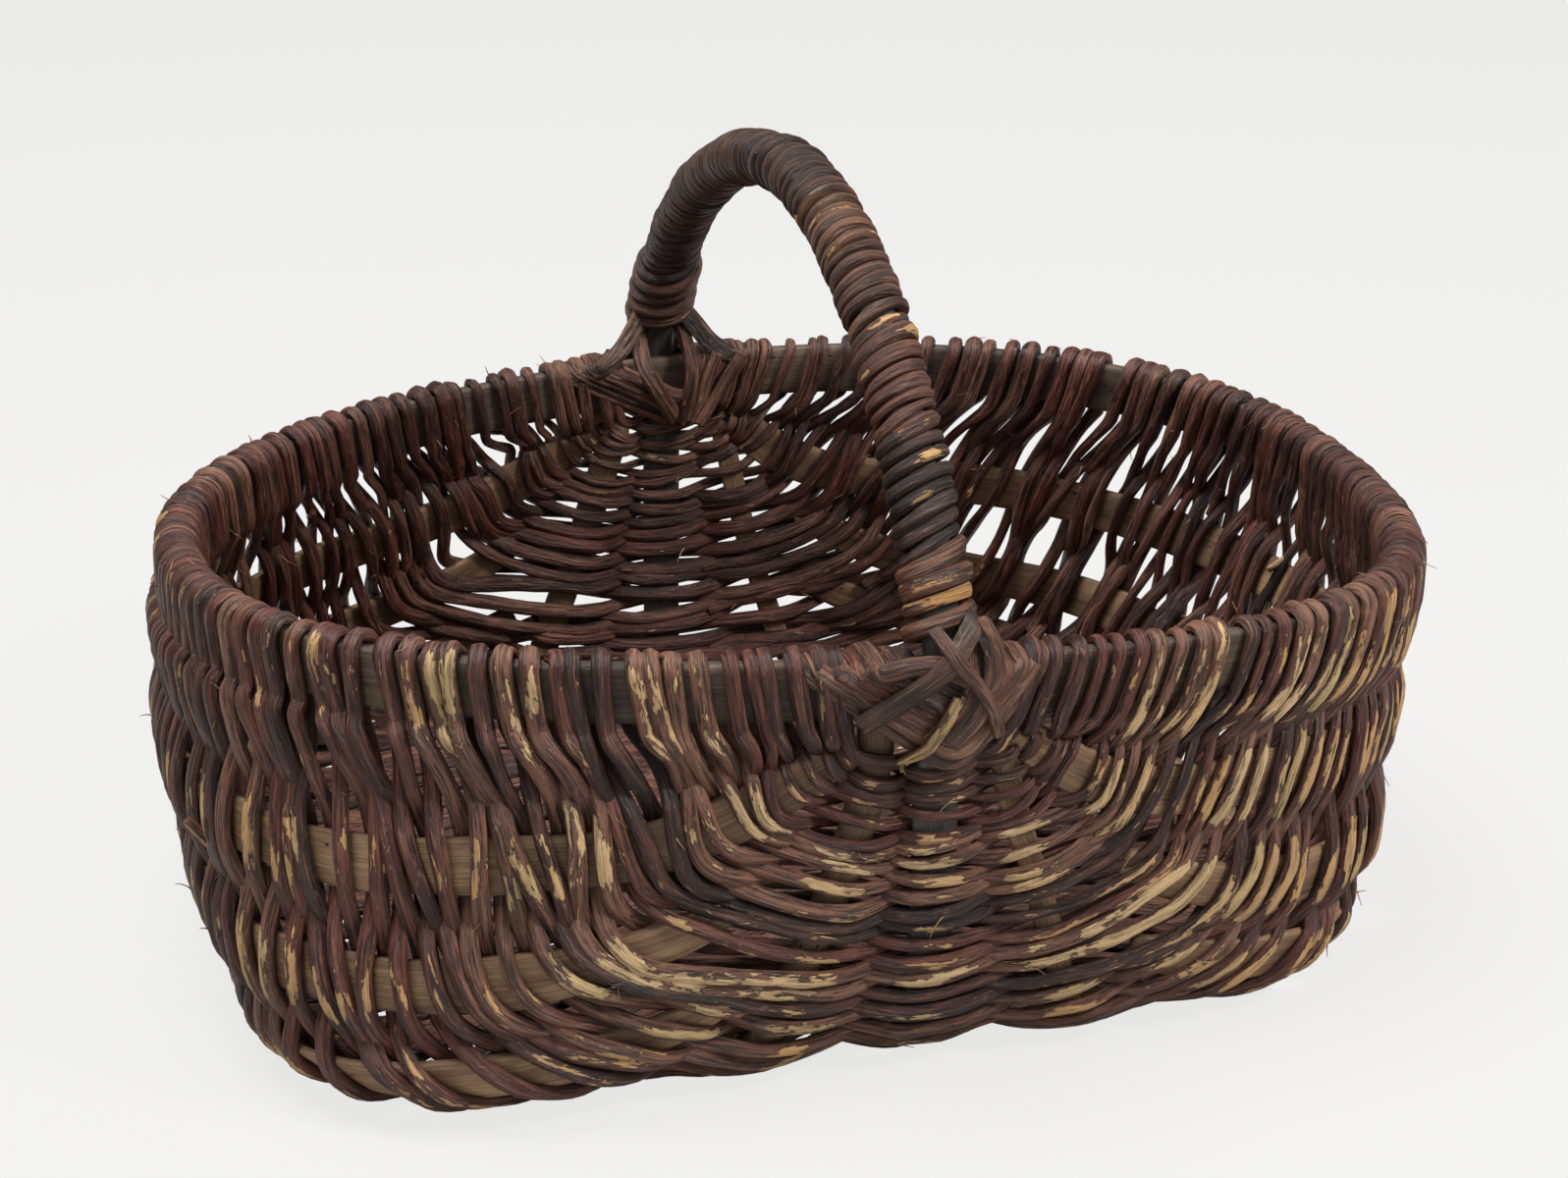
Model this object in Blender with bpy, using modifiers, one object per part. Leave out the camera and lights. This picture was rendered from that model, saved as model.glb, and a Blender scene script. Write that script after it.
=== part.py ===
"""A handled rib basket of split wood and bark-on willow.

Two hoops are lashed at right angles: a flat rim hoop, and a handle hoop whose lower half is the
spine under the floor. Flat ribs, a rod and a splint fan out between the two lashings, and the
weavers run in rows round each lashing, over one rib and under the next, and hook over the rim.

Metres. X runs along the length, Y from front to back, Z up. The basket is built round the middle of
its rim and then moved a little, so that the origin is at the middle of its box, on the ground.
"""

import math

import bmesh
import bpy
import numpy as np
from mathutils import Vector

# Wall surface: the middle of the ribs' thickness
RIM_HALF_LENGTH = 0.2371
RIM_HALF_WIDTH = 0.1792
RIM_HEIGHT = 0.154
RIM_POWER = 2.07
FLOOR_POWER = 4.4
BELLY = 0.024
END_TAPER = 0.182
FLOOR_EDGE_RADIUS = 0.024
FLOOR_SHIFT_X = -0.024
FLOOR_SHIFT_Y = 0.009
FRONT_RIGHT_FULLNESS = 0.14
FRONT_LEFT_FULLNESS = 0.066
FRONT_RIGHT_ANGLE = math.radians(-48)
FRONT_LEFT_ANGLE = math.radians(-140)
FULLNESS_SPREAD = math.radians(28)
WARP_ENDS = -0.0047
WARP_SADDLE = -0.0011
WARP_TWIST = 0.0044

# Wood and willow
CLEARANCE = 0.0007
RIM_TALL = 0.022
RIM_THICK = 0.007
RIB_WIDE = 0.020
RIB_THICK = 0.004
RIB_TIP_WIDE = 0.011
TIP_ROWS = 3
FAN_BLEND = 8
SWING_POWER = 2.2
ROD_WIDE = 0.0135
ROD_THICK = 0.0085
SPLINT_WIDE = 0.010
ROUND_SEAT = 0.0003
SPINE_WIDE = 0.017
SPINE_THICK = 0.005
HANDLE_WIDE = 0.013
HANDLE_THICK = 0.010
WEAVER_THICK = 0.003
RIM_STATIONS = 80

# Rows of weaving, counted as a share of the way from the front lashing to the back one
ROWS = 32
FIRST_ROW = 0.105
ROW_SAG = 0.42
SAG_POWER = 5
WEAVER_FILL = 0.80
BEND_TOLERANCE = 0.0020
BEND_STEPS = 32
BEND_MARGIN = 6
INNER_HOOK_SHARE = 0.7

# Handle arch over the rim and its wrap
ARCH_RISE = 0.147
ARCH_LEAN = 0.08
ARCH_POWER = 1.1
HOOP_GAP = 0.0014
HOOP_SETTLE = 0.022
SETTLE_SHARE = 0.051
SETTLE_STATIONS = 6
ARCH_STATIONS = 40
WRAP_RADIUS = 0.00225
WRAP_GAP = 0.0004
WRAP_LOOPS = 24
WRAP_POINTS = 16
COLLAR_LOOPS = 3
COLLAR_PITCH = 0.0054
WRAP_FOOT = 0.0170

# Lashings: nested vees over the crossing of the hoops
VEES = 5
VEE_FIRST_REACH = 0.020
VEE_REACH_STEP = 0.0092
VEE_FIRST_HEIGHT = 0.0055
VEE_DROP_STEP = 0.0088
VEE_FILL = 0.66
LASHED_ROWS = 0.3
STRAND_SETTLE = 0.10
FRONT_THICK_STRAND = (0.0032, (-0.027, -0.018), (0.004, 0.004))
FRONT_THIN_STRAND = (0.0020, (0.026, -0.020), (0.009, 0.002))
BACK_STRAND = (0.0026, (-0.024, -0.016), (0.006, 0.004))

HALF_TURN = math.pi
WALL_ANGLE = 1.35
SEARCH_STEPS = 160
NUDGE = 0.01
ROW_NUDGE = 0.004
OVAL_CORNERS = 8
OVAL_SPREAD = 1 / math.cos(math.pi / OVAL_CORNERS)
BED = RIB_THICK / 2 + CLEARANCE + WEAVER_THICK
BODY_DEPTH = RIM_HEIGHT - BED
PASS_OUT = RIB_THICK / 2 + CLEARANCE + WEAVER_THICK / 2
ROW_STEP = (1 - 2 * FIRST_ROW) / (ROWS - 1)
HALF_WEAVER = ROW_STEP * WEAVER_FILL / 2

WOOD_GREY = (0.150, 0.105, 0.066)
WOOD_PALE = (0.230, 0.155, 0.088)
BARK_DARK = (0.058, 0.029, 0.022)
BARK_RED = (0.090, 0.038, 0.025)


def angle_bump(angle, centre):
    """A smooth bump round one plan angle."""
    off = np.angle(np.exp(1j * (angle - centre)))
    return np.exp(-((off / FULLNESS_SPREAD) ** 2))


def outline_value(x, y, depth):
    """Under 1 inside the wall surface at this depth under the rim, over 1 outside it."""
    share = np.clip(depth / BODY_DEPTH, 0, 1)
    edge = np.clip((depth - BODY_DEPTH + FLOOR_EDGE_RADIUS) / FLOOR_EDGE_RADIUS, 0, 1)
    inset = FLOOR_EDGE_RADIUS * (1 - np.sqrt(1 - edge**2))
    power = RIM_POWER + (FLOOR_POWER - RIM_POWER) * share**3
    belly = BELLY * 4 * share * (1 - share)
    half_length = RIM_HALF_LENGTH * (1 + belly - END_TAPER * share**2) - inset
    half_width = RIM_HALF_WIDTH * (1 + belly) - inset
    x_part = np.abs(x - FLOOR_SHIFT_X * share) / half_length
    y_part = np.abs(y - FLOOR_SHIFT_Y * share**2) / half_width
    return np.where(depth > BODY_DEPTH, 9.0, x_part**power + y_part**power)


def surface_points(turn, phi):
    """Points of the wall surface, found by halving along rays from the middle of the rim."""
    ray_x = RIM_HALF_LENGTH * np.sin(turn) * np.cos(phi)
    ray_y = -RIM_HALF_WIDTH * np.cos(turn)
    ray_y = ray_y + 0 * ray_x
    ray_depth = BODY_DEPTH * np.sin(turn) * np.sin(phi)
    low = np.full(ray_x.shape, 0.2)
    high = np.full(ray_x.shape, 2.2)
    for _ in range(40):
        middle = (low + high) / 2
        outside = outline_value(ray_x * middle, ray_y * middle, ray_depth * middle) > 1
        high = np.where(outside, middle, high)
        low = np.where(outside, low, middle)
    x, y, depth = ray_x * low, ray_y * low, ray_depth * low
    angle = np.arctan2(y / RIM_HALF_WIDTH, x / RIM_HALF_LENGTH)
    reach = np.clip(np.hypot(x / RIM_HALF_LENGTH, y / RIM_HALF_WIDTH), 0, 1)
    full = 1 + FRONT_RIGHT_FULLNESS * angle_bump(angle, FRONT_RIGHT_ANGLE)
    full = full + FRONT_LEFT_FULLNESS * angle_bump(angle, FRONT_LEFT_ANGLE)
    warp = WARP_ENDS * np.cos(angle) * reach
    warp = warp + (WARP_SADDLE * np.cos(2 * angle) + WARP_TWIST * np.sin(2 * angle)) * reach**2
    height = RIM_HEIGHT - depth + warp * (1 - np.clip(depth / BODY_DEPTH, 0, 1))
    return np.stack([x * full, y * full, height], axis=-1)


class WallSurface:
    """The wall as a grid: angle phi from the right rim (0) under the floor to the left rim, and
    share of the way along that meridian from the front lashing (0) to the back one (1)."""

    def __init__(self, meridians=121, shares=241):
        phis = np.linspace(0, HALF_TURN, meridians)
        turns = np.linspace(0, HALF_TURN, 361)
        raw = surface_points(turns[None, :], phis[:, None])
        steps = np.linalg.norm(np.diff(raw, axis=1), axis=2)
        run = np.concatenate([np.zeros((meridians, 1)), np.cumsum(steps, axis=1)], axis=1)
        share = np.linspace(0, 1, shares)
        self.grid = np.empty((meridians, shares, 3))
        for i in range(meridians):
            for axis in range(3):
                self.grid[i, :, axis] = np.interp(share * run[i, -1], run[i], raw[i, :, axis])

    def point(self, share, phi):
        rows, columns = self.grid.shape[:2]
        u = np.clip(np.asarray(phi, float) / HALF_TURN, 0, 1) * (rows - 1)
        v = np.clip(np.asarray(share, float), 0, 1) * (columns - 1)
        i = np.minimum(u.astype(int), rows - 2)
        j = np.minimum(v.astype(int), columns - 2)
        a = (u - i)[..., None]
        b = (v - j)[..., None]
        near = self.grid[i, j] * (1 - b) + self.grid[i, j + 1] * b
        far = self.grid[i + 1, j] * (1 - b) + self.grid[i + 1, j + 1] * b
        return near * (1 - a) + far * a

    def length(self, phi):
        path = self.point(np.linspace(0, 1, 400), np.full(400, phi))
        return float(np.linalg.norm(np.diff(path, axis=0), axis=1).sum())

    def normal(self, share, phi, step=0.02):
        along = self.point(share + step / 2, phi) - self.point(share - step / 2, phi)
        across = self.point(share, phi + step) - self.point(share, phi - step)
        out = np.cross(across, along)
        return out / np.linalg.norm(out)


WALL = WallSurface()
SPINE_LENGTH = WALL.length(HALF_TURN / 2)


def row_share(row, phi):
    """Where a row crosses a meridian: rows hang in vees near the lashings, straight midway."""
    under = np.minimum(phi, HALF_TURN - phi) / (HALF_TURN / 2)
    sag = ROW_SAG * (1 - (1 - under) ** SAG_POWER)
    near = min(row, 1 - row)
    share = near * (1 - sag * (1 - 2 * near))
    return share if row < 0.5 else 1 - share


def row_point(row, phi):
    return WALL.point(row_share(row, phi), phi)


def row_normal(row, phi):
    return WALL.normal(row_share(row, phi), phi)


class WallRib:
    """A flat rib round one end of the basket, side 1 on the right and -1 on the left.

    It runs at its own share of the basket's depth, and rises to the lashings past its first row."""

    def __init__(self, name, order, side, front_share, end_share, first, fan):
        self.name, self.order, self.side = name, order, side
        self.front_depth, self.end_depth = front_share * RIM_HEIGHT, end_share * RIM_HEIGHT
        self.first, self.fan = first, fan
        self.thick, self.shift = RIB_THICK, 0.0

    def crosses(self, number):
        return self.first <= number <= ROWS - 1 - self.first

    def half_width(self, row):
        """It narrows to both tips."""
        from_tip = min(row, 1 - row) - FIRST_ROW - (self.first - 0.5) * ROW_STEP
        full = min(1.0, max(0.0, from_tip / (TIP_ROWS * ROW_STEP)))
        return (RIB_TIP_WIDE + (RIB_WIDE - RIB_TIP_WIDE) * math.sqrt(full)) / 2

    def crossing(self, row):
        """Angle phi at which a row crosses the rib."""
        depth = self.end_depth + (self.front_depth - self.end_depth) * (2 * row - 1) ** 2
        share = row_share(row, HALF_TURN / 2)
        from_lashing = min(share, 1 - share) * SPINE_LENGTH
        depth = depth ** -FAN_BLEND + (self.fan * from_lashing) ** -FAN_BLEND
        depth = depth ** (-1 / FAN_BLEND)
        phis = np.linspace(HALF_TURN / 2, NUDGE, SEARCH_STEPS)
        if self.side < 0:
            phis = HALF_TURN - phis
        deep = RIM_HEIGHT - row_point(row, phis)[:, 2]
        k = int(np.argmax(deep < depth))
        mix = (depth - deep[k - 1]) / (deep[k] - deep[k - 1])
        return phis[k - 1] * (1 - mix) + phis[k] * mix


class FloorRib:
    """A member from lashing to lashing under the floor, at its own share of the basket's half
    length in each row."""

    def __init__(self, name, order, side, front_share, middle_share, wide, thick):
        self.name, self.order, self.side = name, order, side
        self.front_x, self.middle_x = front_share * RIM_HALF_LENGTH, middle_share * RIM_HALF_LENGTH
        self.wide, self.thick, self.first = wide, thick, 0
        self.shift = (thick - RIB_THICK) / 2 + (ROUND_SEAT if thick > RIB_THICK else 0)

    def crosses(self, number):
        return 0 <= number < ROWS

    def half_width(self, _):
        return self.wide / 2

    def crossing(self, row):
        """Angle phi at which a row crosses the member."""
        swing = math.sin(HALF_TURN * row) ** SWING_POWER
        x = self.side * (self.front_x + (self.middle_x - self.front_x) * swing)
        if x == 0:
            return HALF_TURN / 2
        phis = np.linspace(HALF_TURN / 2, HALF_TURN / 2 - self.side * WALL_ANGLE, SEARCH_STEPS)
        xs = row_point(row, phis)[:, 0] * self.side
        k = int(np.argmax(xs >= abs(x)))
        mix = (abs(x) - xs[k - 1]) / (xs[k] - xs[k - 1])
        return phis[k - 1] * (1 - mix) + phis[k] * mix


LEFT_UPPER = WallRib("rib_left_upper", 1, -1, 0.26, 0.39, 0, 0.64)
LEFT_MIDDLE = WallRib("rib_left_middle", 2, -1, 0.54, 0.67, 4, 0.84)
LEFT_LOWER = WallRib("rib_left_lower", 3, -1, 0.75, 0.92, 6, 0.93)
LEFT_ROD = FloorRib("floor_rod_left", 4, -1, 0.072, 0.39, ROD_WIDE, ROD_THICK)
SPINE = FloorRib("handle_hoop", 5, 0, 0.0, 0.0, SPINE_WIDE, SPINE_THICK)
RIGHT_SPLINT = FloorRib("floor_splint_right", 6, 1, 0.076, 0.355, SPLINT_WIDE, RIB_THICK)
RIGHT_LOWER = WallRib("rib_right_lower", 7, 1, 0.775, 0.91, 6, 0.93)
RIGHT_MIDDLE = WallRib("rib_right_middle", 8, 1, 0.565, 0.69, 4, 0.84)
RIGHT_UPPER = WallRib("rib_right_upper", 9, 1, 0.27, 0.39, 0, 0.66)
MEMBERS = [LEFT_UPPER, LEFT_MIDDLE, LEFT_LOWER, LEFT_ROD, SPINE,
           RIGHT_SPLINT, RIGHT_LOWER, RIGHT_MIDDLE, RIGHT_UPPER]
LEFT_RIM_ORDER = 0
RIGHT_RIM_ORDER = 10


def frame_on(rib, row):
    """Where a row crosses a rib: the point, the outward normal, and the rib's width laid along
    the row, left to right, as a vector that is longer than 1 where the row crosses aslant."""
    phi = rib.crossing(row)
    at = row_point(row, phi)
    out = row_normal(row, phi)
    along = row_point(row + ROW_NUDGE, rib.crossing(row + ROW_NUDGE))
    along = along - row_point(row - ROW_NUDGE, rib.crossing(row - ROW_NUDGE))
    ahead = row_point(row, phi - NUDGE) - row_point(row, phi + NUDGE)
    along = along - out * np.dot(along, out)
    ahead = ahead - out * np.dot(ahead, out)
    square = np.cross(along, out)
    return at, out, ahead / abs(np.dot(ahead, square)) * np.linalg.norm(square)


def new_object(name, data, colour, roughness):
    """Links an object with its own material."""
    obj = bpy.data.objects.new(name, data)
    material = bpy.data.materials.new(name + "_finish")
    material.use_nodes = True
    shader = material.node_tree.nodes["Principled BSDF"]
    shader.inputs["Base Color"].default_value = (*colour, 1)
    shader.inputs["Roughness"].default_value = roughness
    obj.data.materials.append(material)
    PARTS.objects.link(obj)
    return obj


def ribbon(name, bands, thick, colour, closed=False):
    """Flat bands, each between two rails of points, thickened evenly to both sides.

    Where there are several, each is joined to the next at its last step, and then at its first,
    by turns, so that they make one strand that doubles back."""
    mesh = bpy.data.meshes.new(name)
    shape = bmesh.new()
    edges = []
    for left, right in bands:
        left_verts = [shape.verts.new(Vector(p)) for p in left]
        right_verts = [shape.verts.new(Vector(p)) for p in right]
        count = len(left_verts)
        for i in range(count if closed else count - 1):
            j = (i + 1) % count
            shape.faces.new((left_verts[i], right_verts[i], right_verts[j], left_verts[j]))
        edges.append((left_verts, right_verts))
    for number, (before, after) in enumerate(zip(edges, edges[1:])):
        i, j = (-2, -1) if number % 2 == 0 else (0, 1)
        shape.faces.new((before[1][i], after[0][i], after[0][j], before[1][j]))
    shape.to_mesh(mesh)
    shape.free()
    obj = new_object(name, mesh, colour, 0.7)
    solid = obj.modifiers.new("thickness", "SOLIDIFY")
    solid.thickness = thick
    solid.offset = 0
    solid.use_even_offset = True
    return obj


def loft(name, rings, colour, closed=False):
    """A body through unlike sections, capped unless it closes on itself."""
    mesh = bpy.data.meshes.new(name)
    shape = bmesh.new()
    loops = [[shape.verts.new(Vector(p)) for p in ring] for ring in rings]
    count = len(loops)
    for i in range(count if closed else count - 1):
        here, there = loops[i], loops[(i + 1) % count]
        for k in range(len(here)):
            n = (k + 1) % len(here)
            shape.faces.new((here[k], here[n], there[n], there[k]))
    if not closed:
        shape.faces.new(loops[0])
        shape.faces.new(loops[-1])
    bmesh.ops.recalc_face_normals(shape, faces=shape.faces)
    shape.to_mesh(mesh)
    shape.free()
    mesh.shade_smooth()
    mesh.set_sharp_from_angle(angle=math.radians(40))
    return new_object(name, mesh, colour, 0.6)


def tube(name, points, radius, colour):
    """A round strand through points, six-sided, with filled ends."""
    curve = bpy.data.curves.new(name, "CURVE")
    curve.dimensions = "3D"
    curve.bevel_depth = radius
    curve.bevel_resolution = 1
    curve.use_fill_caps = True
    spline = curve.splines.new("POLY")
    spline.points.add(len(points) - 1)
    for knot, point in zip(spline.points, points):
        knot.co = (*point, 1)
    return new_object(name, curve, colour, 0.5)


def station_rows(first_number):
    """Rows at which a rib has a section: its tips, and both edges of each weaver it meets."""
    tip = FIRST_ROW + (first_number - 0.5) * ROW_STEP
    rows = [tip]
    for number in range(first_number, ROWS - first_number):
        middle = FIRST_ROW + number * ROW_STEP
        rows += [middle - HALF_WEAVER, middle + HALF_WEAVER]
    return rows + [1 - tip]


def rib_frames(rib):
    """Centre, outward normal, width direction and half width of a rib at its stations."""
    frames = []
    for row in station_rows(rib.first):
        at, out, wide = frame_on(rib, row)
        frames.append((at - out * rib.shift, out, wide, rib.half_width(row)))
    return frames


def make_flat_rib(rib):
    left = [at - wide * half for at, _, wide, half in rib_frames(rib)]
    right = [at + wide * half for at, _, wide, half in rib_frames(rib)]
    return ribbon(rib.name, [(left, right)], rib.thick, WOOD_GREY)


def oval_ring(centre, out, wide, half_wide, half_thick):
    """An oval section, flattened like shaved wood."""
    ring = []
    for k in range(OVAL_CORNERS):
        turn = 2 * math.pi * (k + 0.5) / OVAL_CORNERS
        ring.append(centre + wide * half_wide * math.cos(turn) * OVAL_SPREAD
                    + out * half_thick * math.sin(turn) * OVAL_SPREAD)
    return ring


def make_floor_rod():
    rings = [oval_ring(at, out, wide, half, ROD_THICK / 2)
             for at, out, wide, half in rib_frames(LEFT_ROD)]
    return loft(LEFT_ROD.name, rings, WOOD_PALE)


def rim_frame(row, side):
    """Middle of the rim hoop and its level outward direction."""
    phi = 0.0 if side > 0 else HALF_TURN
    at = row_point(row, phi)
    along = row_point(min(row + ROW_NUDGE, 1), phi) - row_point(max(row - ROW_NUDGE, 0), phi)
    out = np.array([along[1], -along[0], 0.0]) * side
    return at, out / np.linalg.norm(out)


def make_rim_hoop():
    half = RIM_STATIONS // 2
    rows = (1 - np.cos(np.linspace(0, math.pi, half + 1))) / 2
    rows = (rows + np.linspace(0, 1, half + 1) * 3) / 4
    path = [row_point(row, 0.0) for row in rows]
    path += [row_point(row, HALF_TURN) for row in rows[-2:0:-1]]
    rise = np.array([0, 0, RIM_TALL / 2])
    bands = [([p + rise for p in path], [p - rise for p in path])]
    return ribbon("rim_hoop", bands, RIM_THICK, WOOD_GREY, closed=True)


def smooth(value):
    value = min(max(value, 0.0), 1.0)
    return value * value * (3 - 2 * value)


def hoop_section(height):
    """Half width and half thickness of the handle hoop, flat below the rim and round above."""
    low = smooth((RIM_HEIGHT - RIM_TALL / 2 - height) / HOOP_SETTLE)
    wide = HANDLE_WIDE + (SPINE_WIDE - HANDLE_WIDE) * low
    thick = HANDLE_THICK + (SPINE_THICK - HANDLE_THICK) * low
    return wide / 2, thick / 2


POLE_OFFSET = RIM_THICK / 2 + HOOP_GAP + HANDLE_THICK / 2
FRONT_FOOT = WALL.point(0, HALF_TURN / 2)[1] - POLE_OFFSET
BACK_FOOT = WALL.point(1, HALF_TURN / 2)[1] + POLE_OFFSET


def arch_frame(turn):
    """Centre, outward direction and heading of the handle arch, from the front (0) to the back."""

    def place(t):
        lift = math.copysign(abs(math.sin(t)) ** ARCH_POWER, math.sin(t))
        rise = ARCH_RISE * lift * (1 + ARCH_LEAN * math.cos(t))
        y = (FRONT_FOOT + BACK_FOOT) / 2 - (BACK_FOOT - FRONT_FOOT) / 2 * math.cos(t)
        return np.array([0.0, y, RIM_HEIGHT + rise])

    heading = place(turn + ROW_NUDGE) - place(turn - ROW_NUDGE)
    heading = heading / np.linalg.norm(heading)
    return place(turn), np.array([0.0, -heading[2], heading[1]]), heading


def spine_frame(share):
    """Centre and outward direction of the hoop's lower half, settled from outside the rim."""
    at = WALL.point(share, HALF_TURN / 2)
    if share in (0.0, 1.0):
        out = np.array([0.0, -1.0 if share < 0.5 else 1.0, 0.0])
    else:
        out = WALL.normal(share, HALF_TURN / 2)
        out = np.array([0.0, out[1], out[2]])
        out = out / np.linalg.norm(out)
    low = smooth((RIM_HEIGHT - RIM_TALL / 2 - at[2]) / HOOP_SETTLE)
    return at + out * (POLE_OFFSET * (1 - low) - SPINE.shift * low), out


def make_handle_hoop():
    rings = []
    across = np.array([1.0, 0.0, 0.0])
    for turn in np.linspace(0, math.pi, ARCH_STATIONS, endpoint=False):
        at, out, _ = arch_frame(turn)
        rings.append(oval_ring(at, out, across, *hoop_section(at[2])))
    settling = list(np.linspace(0.0, SETTLE_SHARE, SETTLE_STATIONS))
    shares = settling + [row_share(row, HALF_TURN / 2) for row in station_rows(0)]
    shares += [1 - share for share in settling[::-1]]
    for share in shares[::-1][:-1]:
        at, out = spine_frame(share)
        rings.append(oval_ring(at, out, across, *hoop_section(at[2])))
    return loft("handle_hoop", rings, WOOD_GREY, closed=True)


def arch_turn_at(run):
    """The arch's turn at a distance along it from its front foot, and its whole length."""
    turns = np.linspace(0, math.pi, 721)
    path = np.array([arch_frame(t)[0] for t in turns])
    steps = np.linalg.norm(np.diff(path, axis=0), axis=1)
    length = np.concatenate([[0], np.cumsum(steps)])
    return np.interp(run, length, turns), length[-1]


def wrap_run(loop, length):
    """Distance along the arch after so many loops: close at both feet, open between them."""
    close = COLLAR_LOOPS * COLLAR_PITCH
    open_pitch = (length - 2 * WRAP_FOOT - 2 * close) / (WRAP_LOOPS - 2 * COLLAR_LOOPS)
    if loop < COLLAR_LOOPS:
        return WRAP_FOOT + loop * COLLAR_PITCH
    if loop > WRAP_LOOPS - COLLAR_LOOPS:
        return length - WRAP_FOOT - (WRAP_LOOPS - loop) * COLLAR_PITCH
    return WRAP_FOOT + close + (loop - COLLAR_LOOPS) * open_pitch


def make_handle_wrap():
    """The strand wound round the arch: a helix of loops with a straight run at each end."""
    _, length = arch_turn_at(0.0)
    across = np.array([1.0, 0.0, 0.0])
    reach_wide = HANDLE_WIDE / 2 * OVAL_SPREAD + WRAP_GAP + WRAP_RADIUS
    reach_thick = HANDLE_THICK / 2 * OVAL_SPREAD + WRAP_GAP + WRAP_RADIUS
    loops = np.linspace(0, WRAP_LOOPS, WRAP_LOOPS * WRAP_POINTS + 1)
    runs = np.array([wrap_run(loop, length) for loop in loops])
    turns, _ = arch_turn_at(runs)
    points = []
    for loop, turn in zip(loops, turns):
        at, out, _ = arch_frame(turn)
        spin = 2 * math.pi * loop
        points.append(at + out * reach_thick * math.cos(spin) + across * reach_wide * math.sin(spin))
    end_run = 2 * WRAP_RADIUS
    _, _, first_heading = arch_frame(turns[0])
    _, _, last_heading = arch_frame(turns[-1])
    points.insert(0, points[0] - first_heading * end_run)
    points.append(points[-1] + last_heading * end_run)
    path = np.array(points)
    gaps = []
    for i in range(len(path)):
        far = path[i + WRAP_POINTS // 2:]
        if len(far):
            gaps.append(np.linalg.norm(far - path[i], axis=1).min())
    least = min(gaps) - 2 * WRAP_RADIUS
    print(f"handle_wrap: least gap to itself {least * 1000:.2f} mm")
    return tube("handle_wrap", points, WRAP_RADIUS, BARK_RED)


def hook_profile():
    """Across and up places of a weaver round the rim strip, from its inner side to its outer."""
    across = RIM_THICK / 2 + CLEARANCE + WEAVER_THICK / 2
    top = RIM_TALL / 2 + CLEARANCE + WEAVER_THICK / 2
    ease = WEAVER_THICK / 2
    return [(-across, -top * INNER_HOOK_SHARE), (-across, top - ease), (-across + ease, top),
            (across - ease, top), (across, top - ease), (across, -top)]


def hook_rail(row, side, inner_first):
    """One rail of a weaver's hook over the rim, ending under the rim on the weaving side."""
    at, out = rim_frame(row, side)
    sign = 1 if inner_first else -1
    up = np.array([0.0, 0.0, 1.0])
    return [at + out * across * sign + up * rise for across, rise in hook_profile()]


def parity(row_number, order):
    """1 where a row passes outside a rib, -1 where it passes inside."""
    return 1 if (row_number + order) % 2 == 0 else -1


def pass_offset(rib, outside):
    """Distance of a weaver's middle from the wall surface where it passes a rib."""
    if outside > 0:
        return PASS_OUT
    return -(rib.shift + rib.thick / 2 + CLEARANCE + WEAVER_THICK / 2)


def passing(rib, row, outside):
    """Where one edge of a weaver comes to a rib and leaves it, each with its angle phi."""
    phi = rib.crossing(row)
    at, out, wide = frame_on(rib, row)
    lift = out * pass_offset(rib, outside)
    half = wide * (rib.half_width(row) + CLEARANCE + WEAVER_THICK / 2)
    chord = row_point(row, phi - NUDGE) - row_point(row, phi + NUDGE)
    per_phi = np.linalg.norm(chord) / (2 * NUDGE)
    reach = np.linalg.norm(half) / per_phi
    return [(phi + reach, at - half + lift), (phi - reach, at + half + lift)]


def bend_places(row, start, end, offsets):
    """Shares of a span at which a row needs a point to follow the wall."""
    shares = np.linspace(0, 1, BEND_STEPS + 1)
    phis = start + (end - start) * shares
    path = np.array([row_point(row, phi) + row_normal(row, phi) * offset_between(offsets, s)
                     for phi, s in zip(phis, shares)])
    kept = {0, BEND_STEPS}

    def split(first, last):
        chord = path[last] - path[first]
        chord = chord / np.linalg.norm(chord)
        off = path[first:last + 1] - path[first]
        off = np.linalg.norm(off - np.outer(off @ chord, chord), axis=1)
        worst = int(np.argmax(off))
        if off[worst] > BEND_TOLERANCE and BEND_MARGIN < first + worst < BEND_STEPS - BEND_MARGIN:
            kept.add(first + worst)
            split(first, first + worst)
            split(first + worst, last)

    split(0, BEND_STEPS)
    return [shares[k] for k in sorted(kept)[1:-1]]


def offset_between(offsets, share):
    return offsets[0] + (offsets[1] - offsets[0]) * smooth(share)


def rail_between(row, places, first, last, offsets):
    """Points of a rail in a span between two ribs, at the places the middle of the row needs."""
    points = []
    for share in places:
        phi = first + (last - first) * share
        points.append(row_point(row, phi) + row_normal(row, phi) * offset_between(offsets, share))
    return points


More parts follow.
